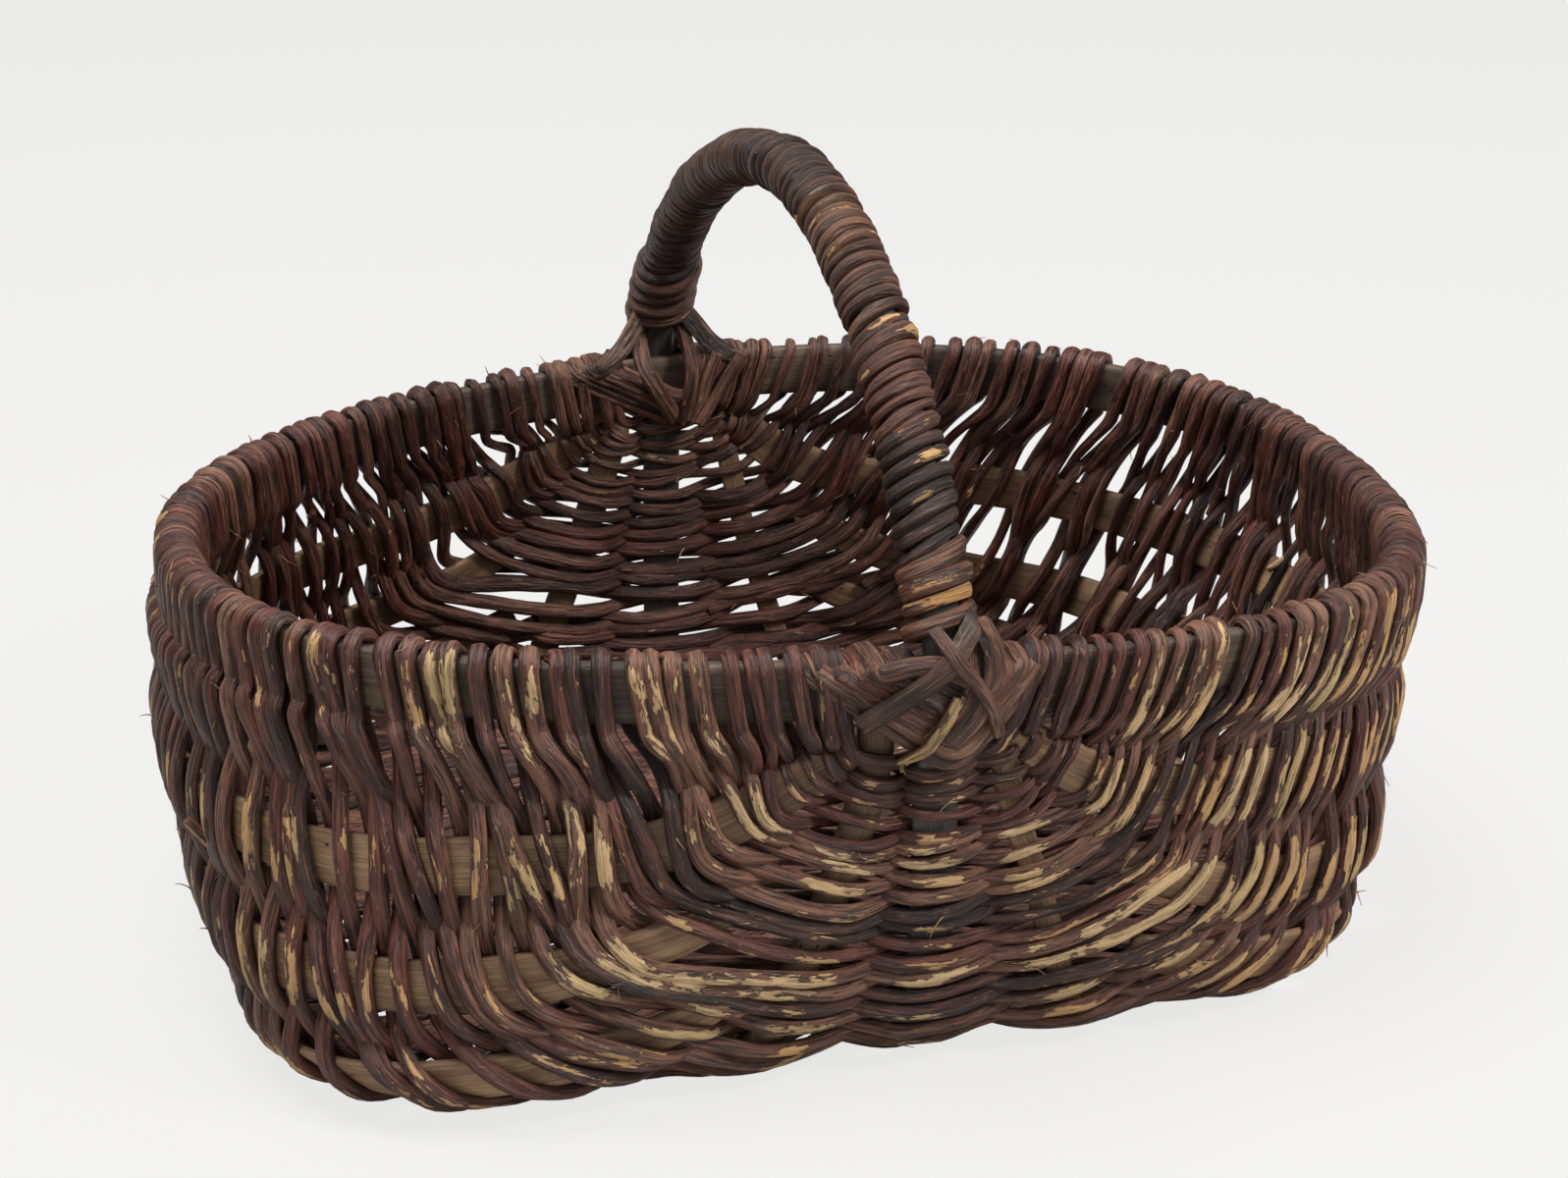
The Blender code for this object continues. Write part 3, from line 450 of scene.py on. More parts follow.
class Bundle:
    """Strands gathered into one mesh, with what their material reads: grain (round, round, along),
    tone (one number a strand) and worn (0 to 1 where the strand is proud)."""

    def __init__(self):
        self.points, self.faces = [], []
        self.grain, self.tone, self.worn = [], [], []
        self.count = 0

    def put(self, points, grain, tone, worn):
        """Adds vertices, in their order."""
        self.points.append(points.reshape(-1, 3))
        self.grain.append(np.reshape(grain, (-1, 3)))
        self.worn.append(worn.reshape(-1))
        self.tone.append(np.full(len(self.points[-1]), tone))
        self.count += len(self.points[-1])

    def put_rings(self, rings, flat, along, tone, worn, closed=False):
        """Adds rings of vertices and the faces between them, back to the first one if closed."""
        count, sides = flat.shape[:2]
        here = np.arange(sides)[None, :]
        beside = (here + 1) % sides
        rows = np.arange(count if closed else count - 1)[:, None] * sides
        following = (rows + sides) % (count * sides)
        quads = np.stack([rows + here, rows + beside, following + beside, following + here],
                         axis=-1)
        self.faces += (quads.reshape(-1, 4)[:, ::-1] + self.count).tolist()
        along = np.broadcast_to(along[:, None, None], (count, sides, 1))
        self.put(rings, np.concatenate([flat, along], axis=2), tone, worn)

    def add(self, path, ups, wide, thick, sides, power=1.0, tone=None, worn=None, blunt=0.4,
            out=None, ridged=0.0):
        """Adds a strand: path, ups (direction of its thickness), half width and half thickness.
        A ridged one has low ridges along it, as dried bark has."""
        wide, thick = (np.broadcast_to(half, (len(path),)) for half in (wide, thick))
        heading = heading_of(path)
        spoke, flat, up = cross_section(heading, ups, wide, thick, sides, power)
        along = run_along(path) + rng.uniform(0, 50)
        ridges = rng.normal(0, 0.8, sides) + 0.8 * np.sin(
            along[:, None] / rng.uniform(0.003, 0.012, sides) + rng.uniform(0, 6.3, sides))
        tone = rng.uniform() if tone is None else tone
        proud = np.zeros((len(path), sides))
        if worn is not None:
            facing = np.einsum("ijk,ik->ij", unit(spoke), up if out is None else out)
            proud = np.abs(worn)[:, None] * smooth(facing * np.sign(worn)[:, None] * 1.3 + 0.1)
            proud = proud * np.where(worn < 0, 0.45, 1.0)[:, None]
        start = self.count
        self.put_rings(path[:, None] + spoke * (1 + ridged * ridges[:, :, None]), flat, along,
                       tone, proud)
        first, last = self.count, self.count + 1
        ends = np.stack([path[0] - heading[0] * thick[0] * blunt,
                         path[-1] + heading[-1] * thick[-1] * blunt])
        self.put(ends, [[0, 0, along[0]], [0, 0, along[-1]]], tone, np.zeros(2))
        for n in range(sides):
            m = (n + 1) % sides
            self.faces.append([start + n, start + m, first])
            self.faces.append([first - sides + m, first - sides + n, last])

    def ring(self, path, ups, wide, thick, sides, power):
        """Adds a closed hoop."""
        wide, thick = (np.broadcast_to(half, (len(path),)) for half in (wide, thick))
        heading = unit(np.roll(path, -1, axis=0) - np.roll(path, 1, axis=0))
        spoke, flat, _ = cross_section(heading, ups, wide, thick, sides, power)
        self.put_rings(path[:, None] + spoke, flat, run_along(path), 0.5,
                       np.zeros(flat.shape[:2]), closed=True)

    def finish(self, name, material, slot, *nodes):
        """Makes the mesh, as a piece that rides on the root and stands for these CAD nodes."""
        mesh = bpy.data.meshes.new(name)
        mesh.from_pydata((np.concatenate(self.points) + SHIFT).tolist(), [], self.faces)
        mesh.shade_smooth()
        for title, kind, key, values in (("grain", "FLOAT_VECTOR", "vector", self.grain),
                                         ("tone", "FLOAT", "value", self.tone),
                                         ("worn", "FLOAT", "value", self.worn)):
            layer = mesh.attributes.new(title, kind, "POINT")
            layer.data.foreach_set(key, np.concatenate(values).astype(np.float32).reshape(-1))
        obj = placed(name, mesh)
        mesh.materials.append(material)
        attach(obj, "root")
        if nodes:
            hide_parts(*nodes)


class Nodes:
    """Short ways to lay out the shader of a material or of the world."""

    def __init__(self, made):
        self.made = made
        made.use_nodes = True
        self.tree = made.node_tree

    @property
    def shader(self):
        return self.tree.nodes["Principled BSDF"]

    def cover(self, share, surface, plain, output):
        """Puts out a surface's shader with this share of a plain one over it."""
        joined = self.add("ShaderNodeMixShader", 0, {0: share, 1: surface, 2: plain})
        self.feed(self.tree.nodes[output].inputs["Surface"], joined)

    def feed(self, socket, value):
        """Sets a socket to a number, vector or colour, or links it to an output."""
        if isinstance(value, tuple):
            socket.default_value = (*value, 1)[:len(socket.default_value)]
        elif isinstance(value, (int, float)):
            socket.default_value = value
        else:
            self.tree.links.new(value, socket)

    def shade(self, **values):
        """Feeds the surface shader's inputs, with _ for each space in their names."""
        for key, value in values.items():
            self.feed(self.shader.inputs[key.replace("_", " ")], value)

    def add(self, kind, output, inputs=None, **settings):
        """Adds a node with these inputs and settings, and gives one of its outputs."""
        made = self.tree.nodes.new(kind)
        for key, value in settings.items():
            setattr(made, key, value)
        for key, value in (inputs or {}).items():
            self.feed(made.inputs[key], value)
        return made.outputs[output]

    def attribute(self, name, output="Fac"):
        return self.add("ShaderNodeAttribute", output, attribute_name=name)

    def read_strand(self, spacing):
        """The strand's grain and tone: by its tone, each strand shows another part of a noise."""
        self.grain = self.attribute("grain", "Vector")
        self.tone = self.attribute("tone")
        shifted = self.math("MULTIPLY", self.tone, spacing)
        self.offset = self.add("ShaderNodeCombineXYZ", 0, dict.fromkeys(range(3), shifted))

    def math(self, operation, a, b=0.0):
        return self.add("ShaderNodeMath", 0, {0: a, 1: b}, operation=operation)

    def plus(self, base, value, factor, middle=0.0):
        """The base and factor times what the value has over its middle."""
        if middle:
            value = self.math("SUBTRACT", value, middle)
        return self.math("ADD", base, self.math("MULTIPLY", value, factor))

    def stretched(self, scale):
        return self.add("ShaderNodeMapping", 0, {"Vector": self.grain, "Location": self.offset,
                                                 "Scale": scale})

    def noise(self, vector, scale, detail, rough=0.55, distortion=0.0):
        return self.add("ShaderNodeTexNoise", "Fac", {
            "Vector": vector, "Scale": scale, "Detail": detail, "Roughness": rough,
            "Distortion": distortion})

    def grained(self, scale, *values):
        return self.noise(self.stretched(scale), 1.0, *values)

    def ramp(self, value, stops):
        made = self.tree.nodes.new("ShaderNodeValToRGB")
        elements = made.color_ramp.elements
        while len(elements) < len(stops):
            elements.new(0.5)
        for element, (place, colour) in zip(elements, stops):
            element.position = place
            element.color = (*colour, 1)
        self.feed(made.inputs["Fac"], value)
        return made.outputs["Color"]

    def span(self, value, low, high, to_low=0.0, to_high=1.0):
        return self.add("ShaderNodeMapRange", "Result", {
            "Value": value, "From Min": low, "From Max": high, "To Min": to_low,
            "To Max": to_high}, interpolation_type="SMOOTHSTEP")

    def mix(self, share, a, b):
        return self.add("ShaderNodeMix", 2, {0: share, 6: a, 7: b}, data_type="RGBA")

    def layered(self, colour, layers):
        """Mixes in further colours, each by a span of some field: (span values..., colour)."""
        for *spanned, other in layers:
            colour = self.mix(self.span(*spanned), colour, other)
        return colour

    def bump(self, height, strength, distance):
        return self.add("ShaderNodeBump", "Normal", {"Height": height, "Strength": strength,
                                                     "Distance": distance})


def tinted(colour, *factors):
    return tuple(v * k for v, k in zip(colour, factors))


def bark_material(name, dark, middle, light, peeled, peel_amount, spread=1.0):
    """Willow bark: reddish brown with fine lines along it, rubbed through to tan in places.
    Painted highlight on the ridges of the lines and wrinkles, painted shade in the wrinkles'
    hollows, and a dark fringe round the tan that is partly the curled bark edge and partly painted
    shadow.
    """
    n = Nodes(bpy.data.materials.new(name))
    n.read_strand(37.0)
    worn = n.attribute("worn")
    slow, lines, wrinkles, patch, rags, flecks = (n.grained(*values) for values in (
        ((150, 150, 26), 3, 0.6), ((1000, 1000, 48), 5, 0.70), ((560, 560, 60), 4, 0.62),
        ((190, 190, 42), 4, 0.62), ((620, 620, 150), 4, 0.65), ((520, 520, 190), 2, 0.5)))
    shade = n.plus(n.math("MULTIPLY", slow, 0.75), n.tone, 0.45 * spread)
    hue = n.math("FRACT", n.math("MULTIPLY", n.tone, 7.31))
    colour = n.layered(n.ramp(shade, [(0.30, dark), (0.56, middle), (0.86, light)]), (
        (hue, 0.55, 0.95, 0.0, 0.55, tinted(middle, 1.35, 0.92, 0.85)),
        (hue, 0.05, 0.30, 0.45, 0.0, tinted(middle, 0.78, 0.95, 0.88)),
        (lines, 0.40, 0.53, 0.80, 0.0, dark),
        # painted highlight: lighter streaks along the raised lines, standing in for the bark's
        # sheen
        (lines, 0.55, 0.66, 0.0, 0.55, light),
        # painted shade in the wrinkles' hollows, then painted highlight on their ridges
        (wrinkles, 0.36, 0.50, 0.75, 0.0, dark),
        (wrinkles, 0.58, 0.72, 0.0, 0.40, light),
        (flecks, 0.62, 0.74, 0.0, 0.45, light)))
    bare = n.plus(patch, rags, 0.38, 0.5)
    bare = n.plus(bare, worn, 0.30)
    bare = n.plus(bare, n.tone, 0.14, 0.5)
    mask = n.span(bare, 0.86 - peel_amount, 0.88 - peel_amount)
    # dark fringe round the tan patches: partly the curled bark's dark edge, partly painted shadow
    # under it
    fringe_and_shadow = n.span(bare, 0.825 - peel_amount, 0.865 - peel_amount, 0.0, 0.75)
    wood = n.layered(peeled, (
        (hue, 0.45, 0.60, 0.0, 1.0, tinted(peeled, 0.86, 0.70, 0.52)),
        (hue, 0.20, 0.32, 1.0, 0.0, tinted(peeled, 0.78, 0.80, 0.68)),
        (lines, 0.38, 0.52, 0.85, 0.0, tinted(peeled, 0.36, 0.36, 0.36)),
        # painted shade in the wrinkles' hollows on the bare wood
        (wrinkles, 0.36, 0.48, 0.90, 0.0, tinted(peeled, 0.24, 0.24, 0.24)),
        (slow, 0.3, 0.7, 0.45, 0.0, tinted(peeled, 0.72, 0.66, 0.60))))
    colour = n.mix(fringe_and_shadow, colour, tinted(middle, 0.50, 0.52, 0.50))
    height = n.plus(n.math("MULTIPLY", lines, 0.5), mask, -0.6)
    height = n.plus(n.plus(height, wrinkles, 1.1), flecks, 0.5)
    n.shade(Base_Color=n.mix(mask, colour, wood), Specular_IOR_Level=0.45,
            Roughness=n.plus(n.span(lines, 0.3, 0.7, 0.30, 0.54), mask, 0.22),
            Normal=n.bump(height, 1.0, 0.0020))
    return n.made


def wood_material(name, dark, middle, light, grey, grey_amount):
    """Split wood: grain lines along it, greyed and stained in places, with small holes whose
    insides are painted near black as painted shade.
    """
    n = Nodes(bpy.data.materials.new(name))
    n.read_strand(53.0)
    slow, lines, fine, stain = (n.grained(*values) for values in (
        ((60, 60, 16), 4, 0.6), ((900, 900, 14), 5, 0.7, 0.4), ((3200, 3200, 70), 3, 0.6),
        ((120, 120, 42), 5, 0.6)))
    pits = n.add("ShaderNodeTexVoronoi", "Distance", {"Vector": n.stretched((150, 150, 75)),
                                                      "Scale": 1.0})
    hole_and_shade = n.span(pits, 0.05, 0.10, 1.0, 0.0)
    shade = n.plus(n.math("MULTIPLY", slow, 0.7), lines, 0.42)
    colour = n.layered(n.ramp(shade, [(0.36, dark), (0.56, middle), (0.74, light)]), (
        (fine, 0.42, 0.60, 0.38, 0.0, dark),
        (stain, 0.62 - grey_amount, 0.80 - grey_amount, 0.0, 0.8, grey)))
    height = n.math("SUBTRACT", n.plus(lines, fine, 0.4), hole_and_shade)
    # painted shade: the insides of the holes are painted near black
    n.shade(Base_Color=n.mix(hole_and_shade, colour, tinted(dark, 0.25, 0.25, 0.25)),
            Roughness=n.span(lines, 0.3, 0.7, 0.72, 0.52), Normal=n.bump(height, 0.6, 0.0006))
    return n.made


BARK = bark_material("weaver_bark_finish", (0.009, 0.0050, 0.0042), (0.096, 0.032, 0.021),
                     (0.250, 0.118, 0.072), (0.66, 0.460, 0.240), 0.031)
WRAP_BARK = bark_material("wrap_bark_finish", (0.008, 0.0042, 0.0034), (0.070, 0.025, 0.015),
                          (0.190, 0.088, 0.046), (0.58, 0.350, 0.150), 0.065)
LASH_BARK = bark_material("lashing_bark_finish", (0.013, 0.0070, 0.005), (0.140, 0.058, 0.034),
                          (0.340, 0.182, 0.104), (0.60, 0.410, 0.200), 0.012, 0.6)
RIB_WOOD = wood_material("rib_wood_finish", (0.036, 0.020, 0.012), (0.205, 0.116, 0.060),
                         (0.460, 0.290, 0.155), (0.115, 0.105, 0.092), -0.05)
RIM_WOOD = wood_material("rim_wood_finish", (0.022, 0.014, 0.010), (0.086, 0.056, 0.036),
                         (0.190, 0.126, 0.080), (0.064, 0.062, 0.060), 0.02)
HANDLE_WOOD = wood_material("handle_wood_finish", (0.020, 0.018, 0.016), (0.060, 0.053, 0.045),
                            (0.125, 0.110, 0.088), (0.080, 0.105, 0.118), 0.06)
ROD_WOOD = wood_material("peeled_rod_finish", (0.050, 0.029, 0.017), (0.160, 0.094, 0.050),
                         (0.330, 0.210, 0.115), (0.100, 0.085, 0.072), -0.05)


def rim_places(rows, side):
    """Middle of the rim strip at these rows and its level outward direction."""
    rows = np.asarray(rows, float)
    phi = np.full(rows.shape, 0.0 if side > 0 else HALF_TURN)
    step = 0.004
    at = row_point(rows, phi)
    along = row_point(np.minimum(rows + step, 1), phi) - row_point(np.maximum(rows - step, 0), phi)
    out = np.stack([along[:, 1], -along[:, 0], np.zeros(len(rows))], axis=1) * side
    return at, unit(out)


def parity(number, order):
    """1 where a row passes outside a rib, -1 where it passes inside."""
    return 1 if (number + order) % 2 == 0 else -1


RIM_SHARES = np.linspace(0, 1, 721)
RIM_LINES = {side: WALL.point(RIM_SHARES, np.full(721, phi))
             for side, phi in ((1, 0.0), (-1, HALF_TURN))}


def plan_angle(points):
    return np.arctan2(points[..., 1] / RIM_HALF_WIDTH, np.abs(points[..., 0]) / RIM_HALF_LENGTH)


RIM_ANGLES = {side: plan_angle(line) for side, line in RIM_LINES.items()}


def under_rim(points, side):
    """The rim's share above points of the wall, and their depth under the middle of the rim."""
    shares = np.interp(plan_angle(points), RIM_ANGLES[side], RIM_SHARES)
    return shares, np.interp(shares, RIM_SHARES, RIM_LINES[side][:, 2]) - points[..., 2]


def rim_meeting(number, side):
    """Where a row comes out from under the rim: the rim's share, and how far it goes sideways on
    its way up, in shares a metre."""
    phis = np.linspace(0.0, 1.0, 240)
    phis = phis if side > 0 else HALF_TURN - phis
    shares, depths = under_rim(row_point(drifted(number, phis), phis), side)
    k = int(np.argmax(depths > RIM_EDGE))
    low = int(np.argmax(depths > RIM_EDGE + 0.008))
    lean = (shares[k] - shares[low]) / (depths[low] - depths[k])
    return float(shares[k]), float(np.clip(lean, -RIM_LEAN, RIM_LEAN))


def rim_end(number, partner, side, outside):
    """A row's end on the rim, from under it up and over to the middle of its top: points on the
    wood, and the directions in which the strand lies off it. Rows run by pairs, so the top lies
    between this row and its partner."""
    low, lean = rim_meeting(number, side)
    low_partner, lean_partner = rim_meeting(partner, side)
    rise = RIM_EDGE + RIM_TALL / 2
    high = (low + low_partner) / 2 + (lean + lean_partner) / 2 * rise * 0.8
    top = RIM_TALL / 2 + SEAT
    across, heights, raised = np.array([
        (1.0, -RIM_EDGE, 0.0), (1.0, -0.008, 0.0), (1.0, 0.0, 0.0), (1.0, 0.0060, 0.0),
        (1.0, top - 0.0012, 0.30), (0.85, top - 0.0002, 0.65), (0.45, top, 1.0),
        (0.0, top, 1.0)]).T
    climb = (heights - heights[0]) / (heights[-1] - heights[0])
    at, out = rim_places(low + (high - low) * climb, side)
    off = (RIM_THICK / 2 + SEAT) * outside
    points = at + UP * heights[:, None] + out * (off * across)[:, None]
    push = unit(out * outside * (1 - raised)[:, None] + UP * raised[:, None])
    return points, push


def laid_over(run, keys):
    """How far a strand lies off the middle of the wall along its run, and on which side (1 to -1).
    Each key is a member's place, the side that the strand takes, its seats outside and inside and
    its half width; between members the strand passes smoothly from seat to seat."""
    places, seats, signs = [], [], []
    for place, sign, outer, inner, reach in sorted(keys):
        places += [place - reach * 0.5, place + reach * 0.5]
        seats += [outer + SEAT if sign > 0 else -(inner + SEAT)] * 2
        signs += [sign, sign]
    lines = [np.interp(run, places, values) for values in (seats, signs)]
    for k in range(1, len(places) - 1, 2):
        inside = (run > places[k]) & (run < places[k + 1])
        share = smooth((run[inside] - places[k]) / max(places[k + 1] - places[k], 1e-9))
        for line, values in zip(lines, (seats, signs)):
            line[inside] = values[k] + (values[k + 1] - values[k]) * share
    return lines


def row_path(number):
    """A row from the middle of the left rim's top to the middle of the right rim's top: points on
    the wood, which way the strand lies off them, its ups, the wall's outward normals, and the
    room it has beside its neighbours."""
    phis = np.linspace(HALF_TURN, 0.0, ROW_STATIONS)
    rows = drifted(number, phis)
    at = row_point(rows, phis)
    out = row_normal(rows, phis)
    heading = heading_of(at)
    step = row_point(rows + ROW_STEP / 2, phis) - row_point(rows - ROW_STEP / 2, phis)
    room = np.linalg.norm(np.cross(step, heading), axis=1)
    run = run_along(at)
    half = ROW_STATIONS // 2
    _, left_depths = under_rim(at[:half], -1)
    _, right_depths = under_rim(at[half:], 1)
    first = int(np.argmax(left_depths > RIM_EDGE + 0.002))
    last = ROW_STATIONS - 1 - int(np.argmax(right_depths[::-1] > RIM_EDGE + 0.002))
    on_left, on_right = parity(number, LEFT_RIM_ORDER), parity(number, RIGHT_RIM_ORDER)
    keys = [(0.0, on_left, RIM_THICK / 2, RIM_THICK / 2, 2 * run[first] + 0.006),
            (run[-1], on_right, RIM_THICK / 2, RIM_THICK / 2, 2 * (run[-1] - run[last]) + 0.006)]
    middle = FIRST_ROW + number * ROW_STEP
    for rib in RIBS:
        if rib.crosses(middle):
            row = float(drifted(number, rib.crossing(middle)))
            place = float(np.interp(-rib.crossing(row), -phis, run))
            keys.append((place, parity(number, rib.order), rib.thick / 2 - rib.inward,
                         rib.thick / 2 + rib.inward, rib.half_width(row)))
    inner = slice(first, last + 1)
    at, out, room = at[inner], out[inner], room[inner]
    base, lay = laid_over(run[inner], keys)
    turn = 1 if number % 2 == 0 else -1
    left, left_push = rim_end(number, number - turn, -1, on_left)
    right, right_push = rim_end(number, number + turn, 1, on_right)
    path = np.concatenate([left[::-1], at + out * base[:, None], right])
    push = np.concatenate([left_push[::-1], out * lay[:, None], right_push])
    ups = np.concatenate([left_push[::-1], out * turn, right_push])
    ends = (len(left), len(right))
    normals = np.pad(out, (ends, (0, 0)), mode="edge")
    return path, push, ups, normals, np.pad(room, ends, mode="edge")


def thinned(path, longest=0.0048, bend=math.radians(9)):
    """Stations kept along a fine path: more where it bends."""
    heading = heading_of(path)
    kept = [0]
    for i in range(1, len(path) - 1):
        far = np.linalg.norm(path[i] - path[kept[-1]])
        turned = math.acos(min(1.0, float(heading[i] @ heading[kept[-1]])))
        if far > longest or turned > bend:
            kept.append(i)
    kept.append(len(path) - 1)
    return np.array(kept)


def add_frays(bundle, line, radius, out, worn):
    """Loose fibres and the odd broken end, each rooted in the strand it stands on."""
    heading = heading_of(line)
    kinds = [False] * chance.poisson(FIBRES_PER_ROD) + [True] * chance.poisson(STUBS_PER_ROD)
    share = np.linspace(0, 1, FRAY_POINTS)[:, None]
    for stub in kinds:
        i = int(chance.integers(2, len(line) - 2))
        outward = out[i] if worn[i] >= 0 else -out[i]
        across = np.cross(heading[i], out[i])
        along = heading[i] * chance.choice([-1.0, 1.0])
        if stub and not STUB_LOWEST < line[i, 2] < RIM_HEIGHT - RIM_TALL:
            continue
        if stub:
            long = chance.uniform(0.010, 0.020)
            rise, lean = chance.uniform(0.28, 0.45), chance.uniform(-0.4, 0.4)
            start = line[i] - outward * radius[i] * 0.3
            sway = across * chance.uniform(-0.15, 0.15)
            half = radius[i] * chance.uniform(0.60, 0.80) * np.ones(FRAY_POINTS)
            sides, tone, bare = 9, None, 0.8
        else:
            long = chance.uniform(0.003, 0.008)
            rise, lean = chance.uniform(0.15, 0.6), chance.uniform(-0.6, 0.6)
            start = line[i] + outward * radius[i] * FLATNESS * 0.8
            sway = across * chance.uniform(-0.8, 0.8) + outward * chance.uniform(-0.5, 0.4)
            half = np.linspace(0.00034, 0.00012, FRAY_POINTS)
            sides, tone, bare = 5, chance.uniform(0.4, 0.9), 1.3
        way = unit(along + outward * rise + across * lean)
        path = start + (way * share + sway * share**2) * long
        path[:, 2] = np.maximum(path[:, 2], LOWEST)
        bundle.add(path, np.repeat([outward], FRAY_POINTS, axis=0), half, half * 0.9,
                   sides=sides, tone=tone, worn=np.full(FRAY_POINTS, bare), blunt=0.15)


def strand_fill(path):
    """Share of the room between rows that a strand fills: less in walls that let light through,
    more on the floor and over the rim."""
    x, y, z = path.T
    clear = smooth((RIM_HEIGHT - RIM_EDGE - z) / 0.012)
    inner_wall = fade(y, -0.10, 0.08) * fade(z, 0.02, 0.04) * clear
    front_wall = fade(x, -0.01, 0.06) * fade(-y, 0.03, 0.06) * clear
    fill = STRAND_FILL - 0.20 * fade(x, 0.06, 0.08) * inner_wall
    fill = fill - 0.20 * fade(-x, 0.08, 0.08) * inner_wall
    fill = fill - 0.13 * front_wall
    fill = fill + 0.06 * smooth((0.045 - z) / 0.03)
    return fill + 0.14 * smooth((z - RIM_HEIGHT + RIM_EDGE + 0.004) / 0.008)


def wear_of(path, proud, normals):
    """How worn the strands are, outside (over 0) or inside (under 0) the wall, and which way
    their worn faces look: upwards on the rim."""
    x, y, z = path.T
    rubbed = 1 + 0.32 * fade(x, 0.02, 0.12) * fade(-y, 0.0, 0.08)
    rubbed = rubbed * (1 - 0.28 * fade(z, 0.130, 0.010))
    crown = fade(z - RIM_HEIGHT, 0.003, 0.006)
    faces = unit(normals + UP * crown[:, None])
    return proud * rubbed + crown * 0.26 * fade(np.abs(x), 0.10, 0.08), faces


def swayed(path, run, normals):
    """The path with the small sideways and outward waves of real willow."""
    side = unit(np.cross(heading_of(path), normals))
    free = 1 - (np.abs(path[:, 2] - RIM_HEIGHT) < 0.016) * 0.6
    free = free * (1 + 0.8 * smooth((0.035 - path[:, 2]) / 0.02))
    path = path + side * (wavy(run, 0.03, 0.16, 9) * 0.00060 * free)[:, None]
    return path + normals * (wavy(run, 0.025, 0.12, 9) * 0.00025 * free)[:, None]


def woven_run():
    """The rows joined end to end over the rims into one run. Gives the run and, along it: points
    on the wood, which way the strand lies off them, its ups, the wall's normals, the half width
    that it has room for, how far outside it is (1 to -1), its wear and its worn faces."""
    flow = []
    for number in range(ROWS):
        part = row_path(number)
        flow.append(tuple(values[::-1] for values in part) if number % 2 == 1 else part)
    path, *others = (np.concatenate(values) for values in zip(*flow))
    path, push, ups, normals, room, run = resample(path, FINE_STEP, *others)
    near_room = softened(room, 30)
    spread = np.ones(ROOM_SPREAD) / ROOM_SPREAD
    padded = np.pad(room, ROOM_SPREAD // 2, mode="edge")
    room = np.minimum(np.convolve(padded, spread, mode="valid"), near_room * 1.12)
    path, push, ups = softened(path, 6), softened(push, 6), unit(softened(ups, 6))
    normals = unit(normals)
    proud = np.clip(np.einsum("ij,ij->i", push, normals), -1, 1)
    wear, faces = wear_of(path, proud, normals)
    path = swayed(path, run, normals)
    return run, path, push, ups, normals, room * strand_fill(path), proud, wear, faces


def cut_rods(run, path, push, ups, normals, room, proud, wear, faces):
    """The run cut into willow rods, thick end to thick end and tip to tip. Each one ends inside
    the wall. Gives each rod's middle line, ups, wear, worn faces and half width."""
    rods = []
    start = 0
    last = len(path) - 1
    while start < last - 9:
        end = min(start + int(rng.uniform(*ROD_LENGTHS) / FINE_STEP), last)
        if last + 1 - end < SHORTEST_ROD:
            end = last
        while end < last and not proud[end] > INSIDE >= proud[end - 1]:
            end += 1
        tail = min(int(rng.uniform(*TAIL_LENGTHS) / FINE_STEP), last - end)
        piece = slice(start, end + tail + 1)
        share = np.linspace(0, 1, end + tail + 1 - start)
        if len(rods) % 2 == 1:
            share = 1 - share
        radius = room[piece] * (1.10 - 0.26 * share)
        radius = radius * (1 + 0.06 * wavy(run[piece], 0.02, 0.2, 5)) * rng.uniform(0.86, 1.12)
        radius = np.clip(radius, THIN_HALF, THICK_HALF)
        line = path[piece] + push[piece] * (radius * FLATNESS)[:, None]
        if tail:
            lift = np.zeros(len(line))
            lift[-tail:] = np.linspace(0, 1, tail) ** 1.5
            line = line - normals[piece] * (lift * rng.uniform(0.002, 0.007))[:, None]
        kept = thinned(line)
        rods.append((line[kept], *(values[piece][kept] for values in (ups, wear, faces)),
                     radius[kept]))
        start = end
    return rods


def make_weavers():
    rods = cut_rods(*woven_run())
    for k in range(WEAVER_PIECES):
        bundle = Bundle()
        first, following = (len(rods) * n // WEAVER_PIECES for n in (k, k + 1))
        for line, up, worn, out, radius in rods[first:following]:
            bundle.add(line, up, radius, radius * FLATNESS, sides=WEAVER_SIDES, worn=worn,
                       out=out, ridged=WEAVER_RIDGES)
            add_frays(bundle, line, radius, out, worn)
        bundle.finish(f"willow_{k + 1:02d}", BARK, "weaver_bark", f"weaver_{k + 1:02d}")


def rib_path(rib):
    rows = np.linspace(rib.first_row, rib.last_row, 260)
    phis = rib.crossing(rows)
    at = row_point(rows, phis)
    out = row_normal(rows, phis)
    half = np.array([rib.half_width(row) for row in rows])
    return resample(softened(at, 4), 0.004, unit(softened(out, 4)), half)


def make_ribs():
    for rib in RIBS:
        if rib.name == "handle_hoop":
            continue
        path, out, half, run = rib_path(rib)
        out = unit(out)
        side = unit(np.cross(heading_of(path), out))
        path = path + side * (wavy(run, 0.08, 0.3) * 0.0007)[:, None]
        half = half * (1 + 0.035 * wavy(run, 0.05, 0.25))
        bundle = Bundle()
        if rib.name == "floor_rod_left":
            path = path - out * ((ROD_THICK - RIB_THICK) / 2)
            bundle.add(path, out, half, ROD_THICK / 2, sides=16, power=0.85)
            bundle.finish("rod_left", ROD_WOOD, "peeled_rod", rib.name)
        else:
            thick = rib.thick / 2 * (1 + 0.06 * wavy(run, 0.05, 0.2))
            bundle.add(path, out, half, thick, sides=20, power=0.42)
            bundle.finish(rib.name + "_wood", RIB_WOOD, "rib_wood", rib.name)


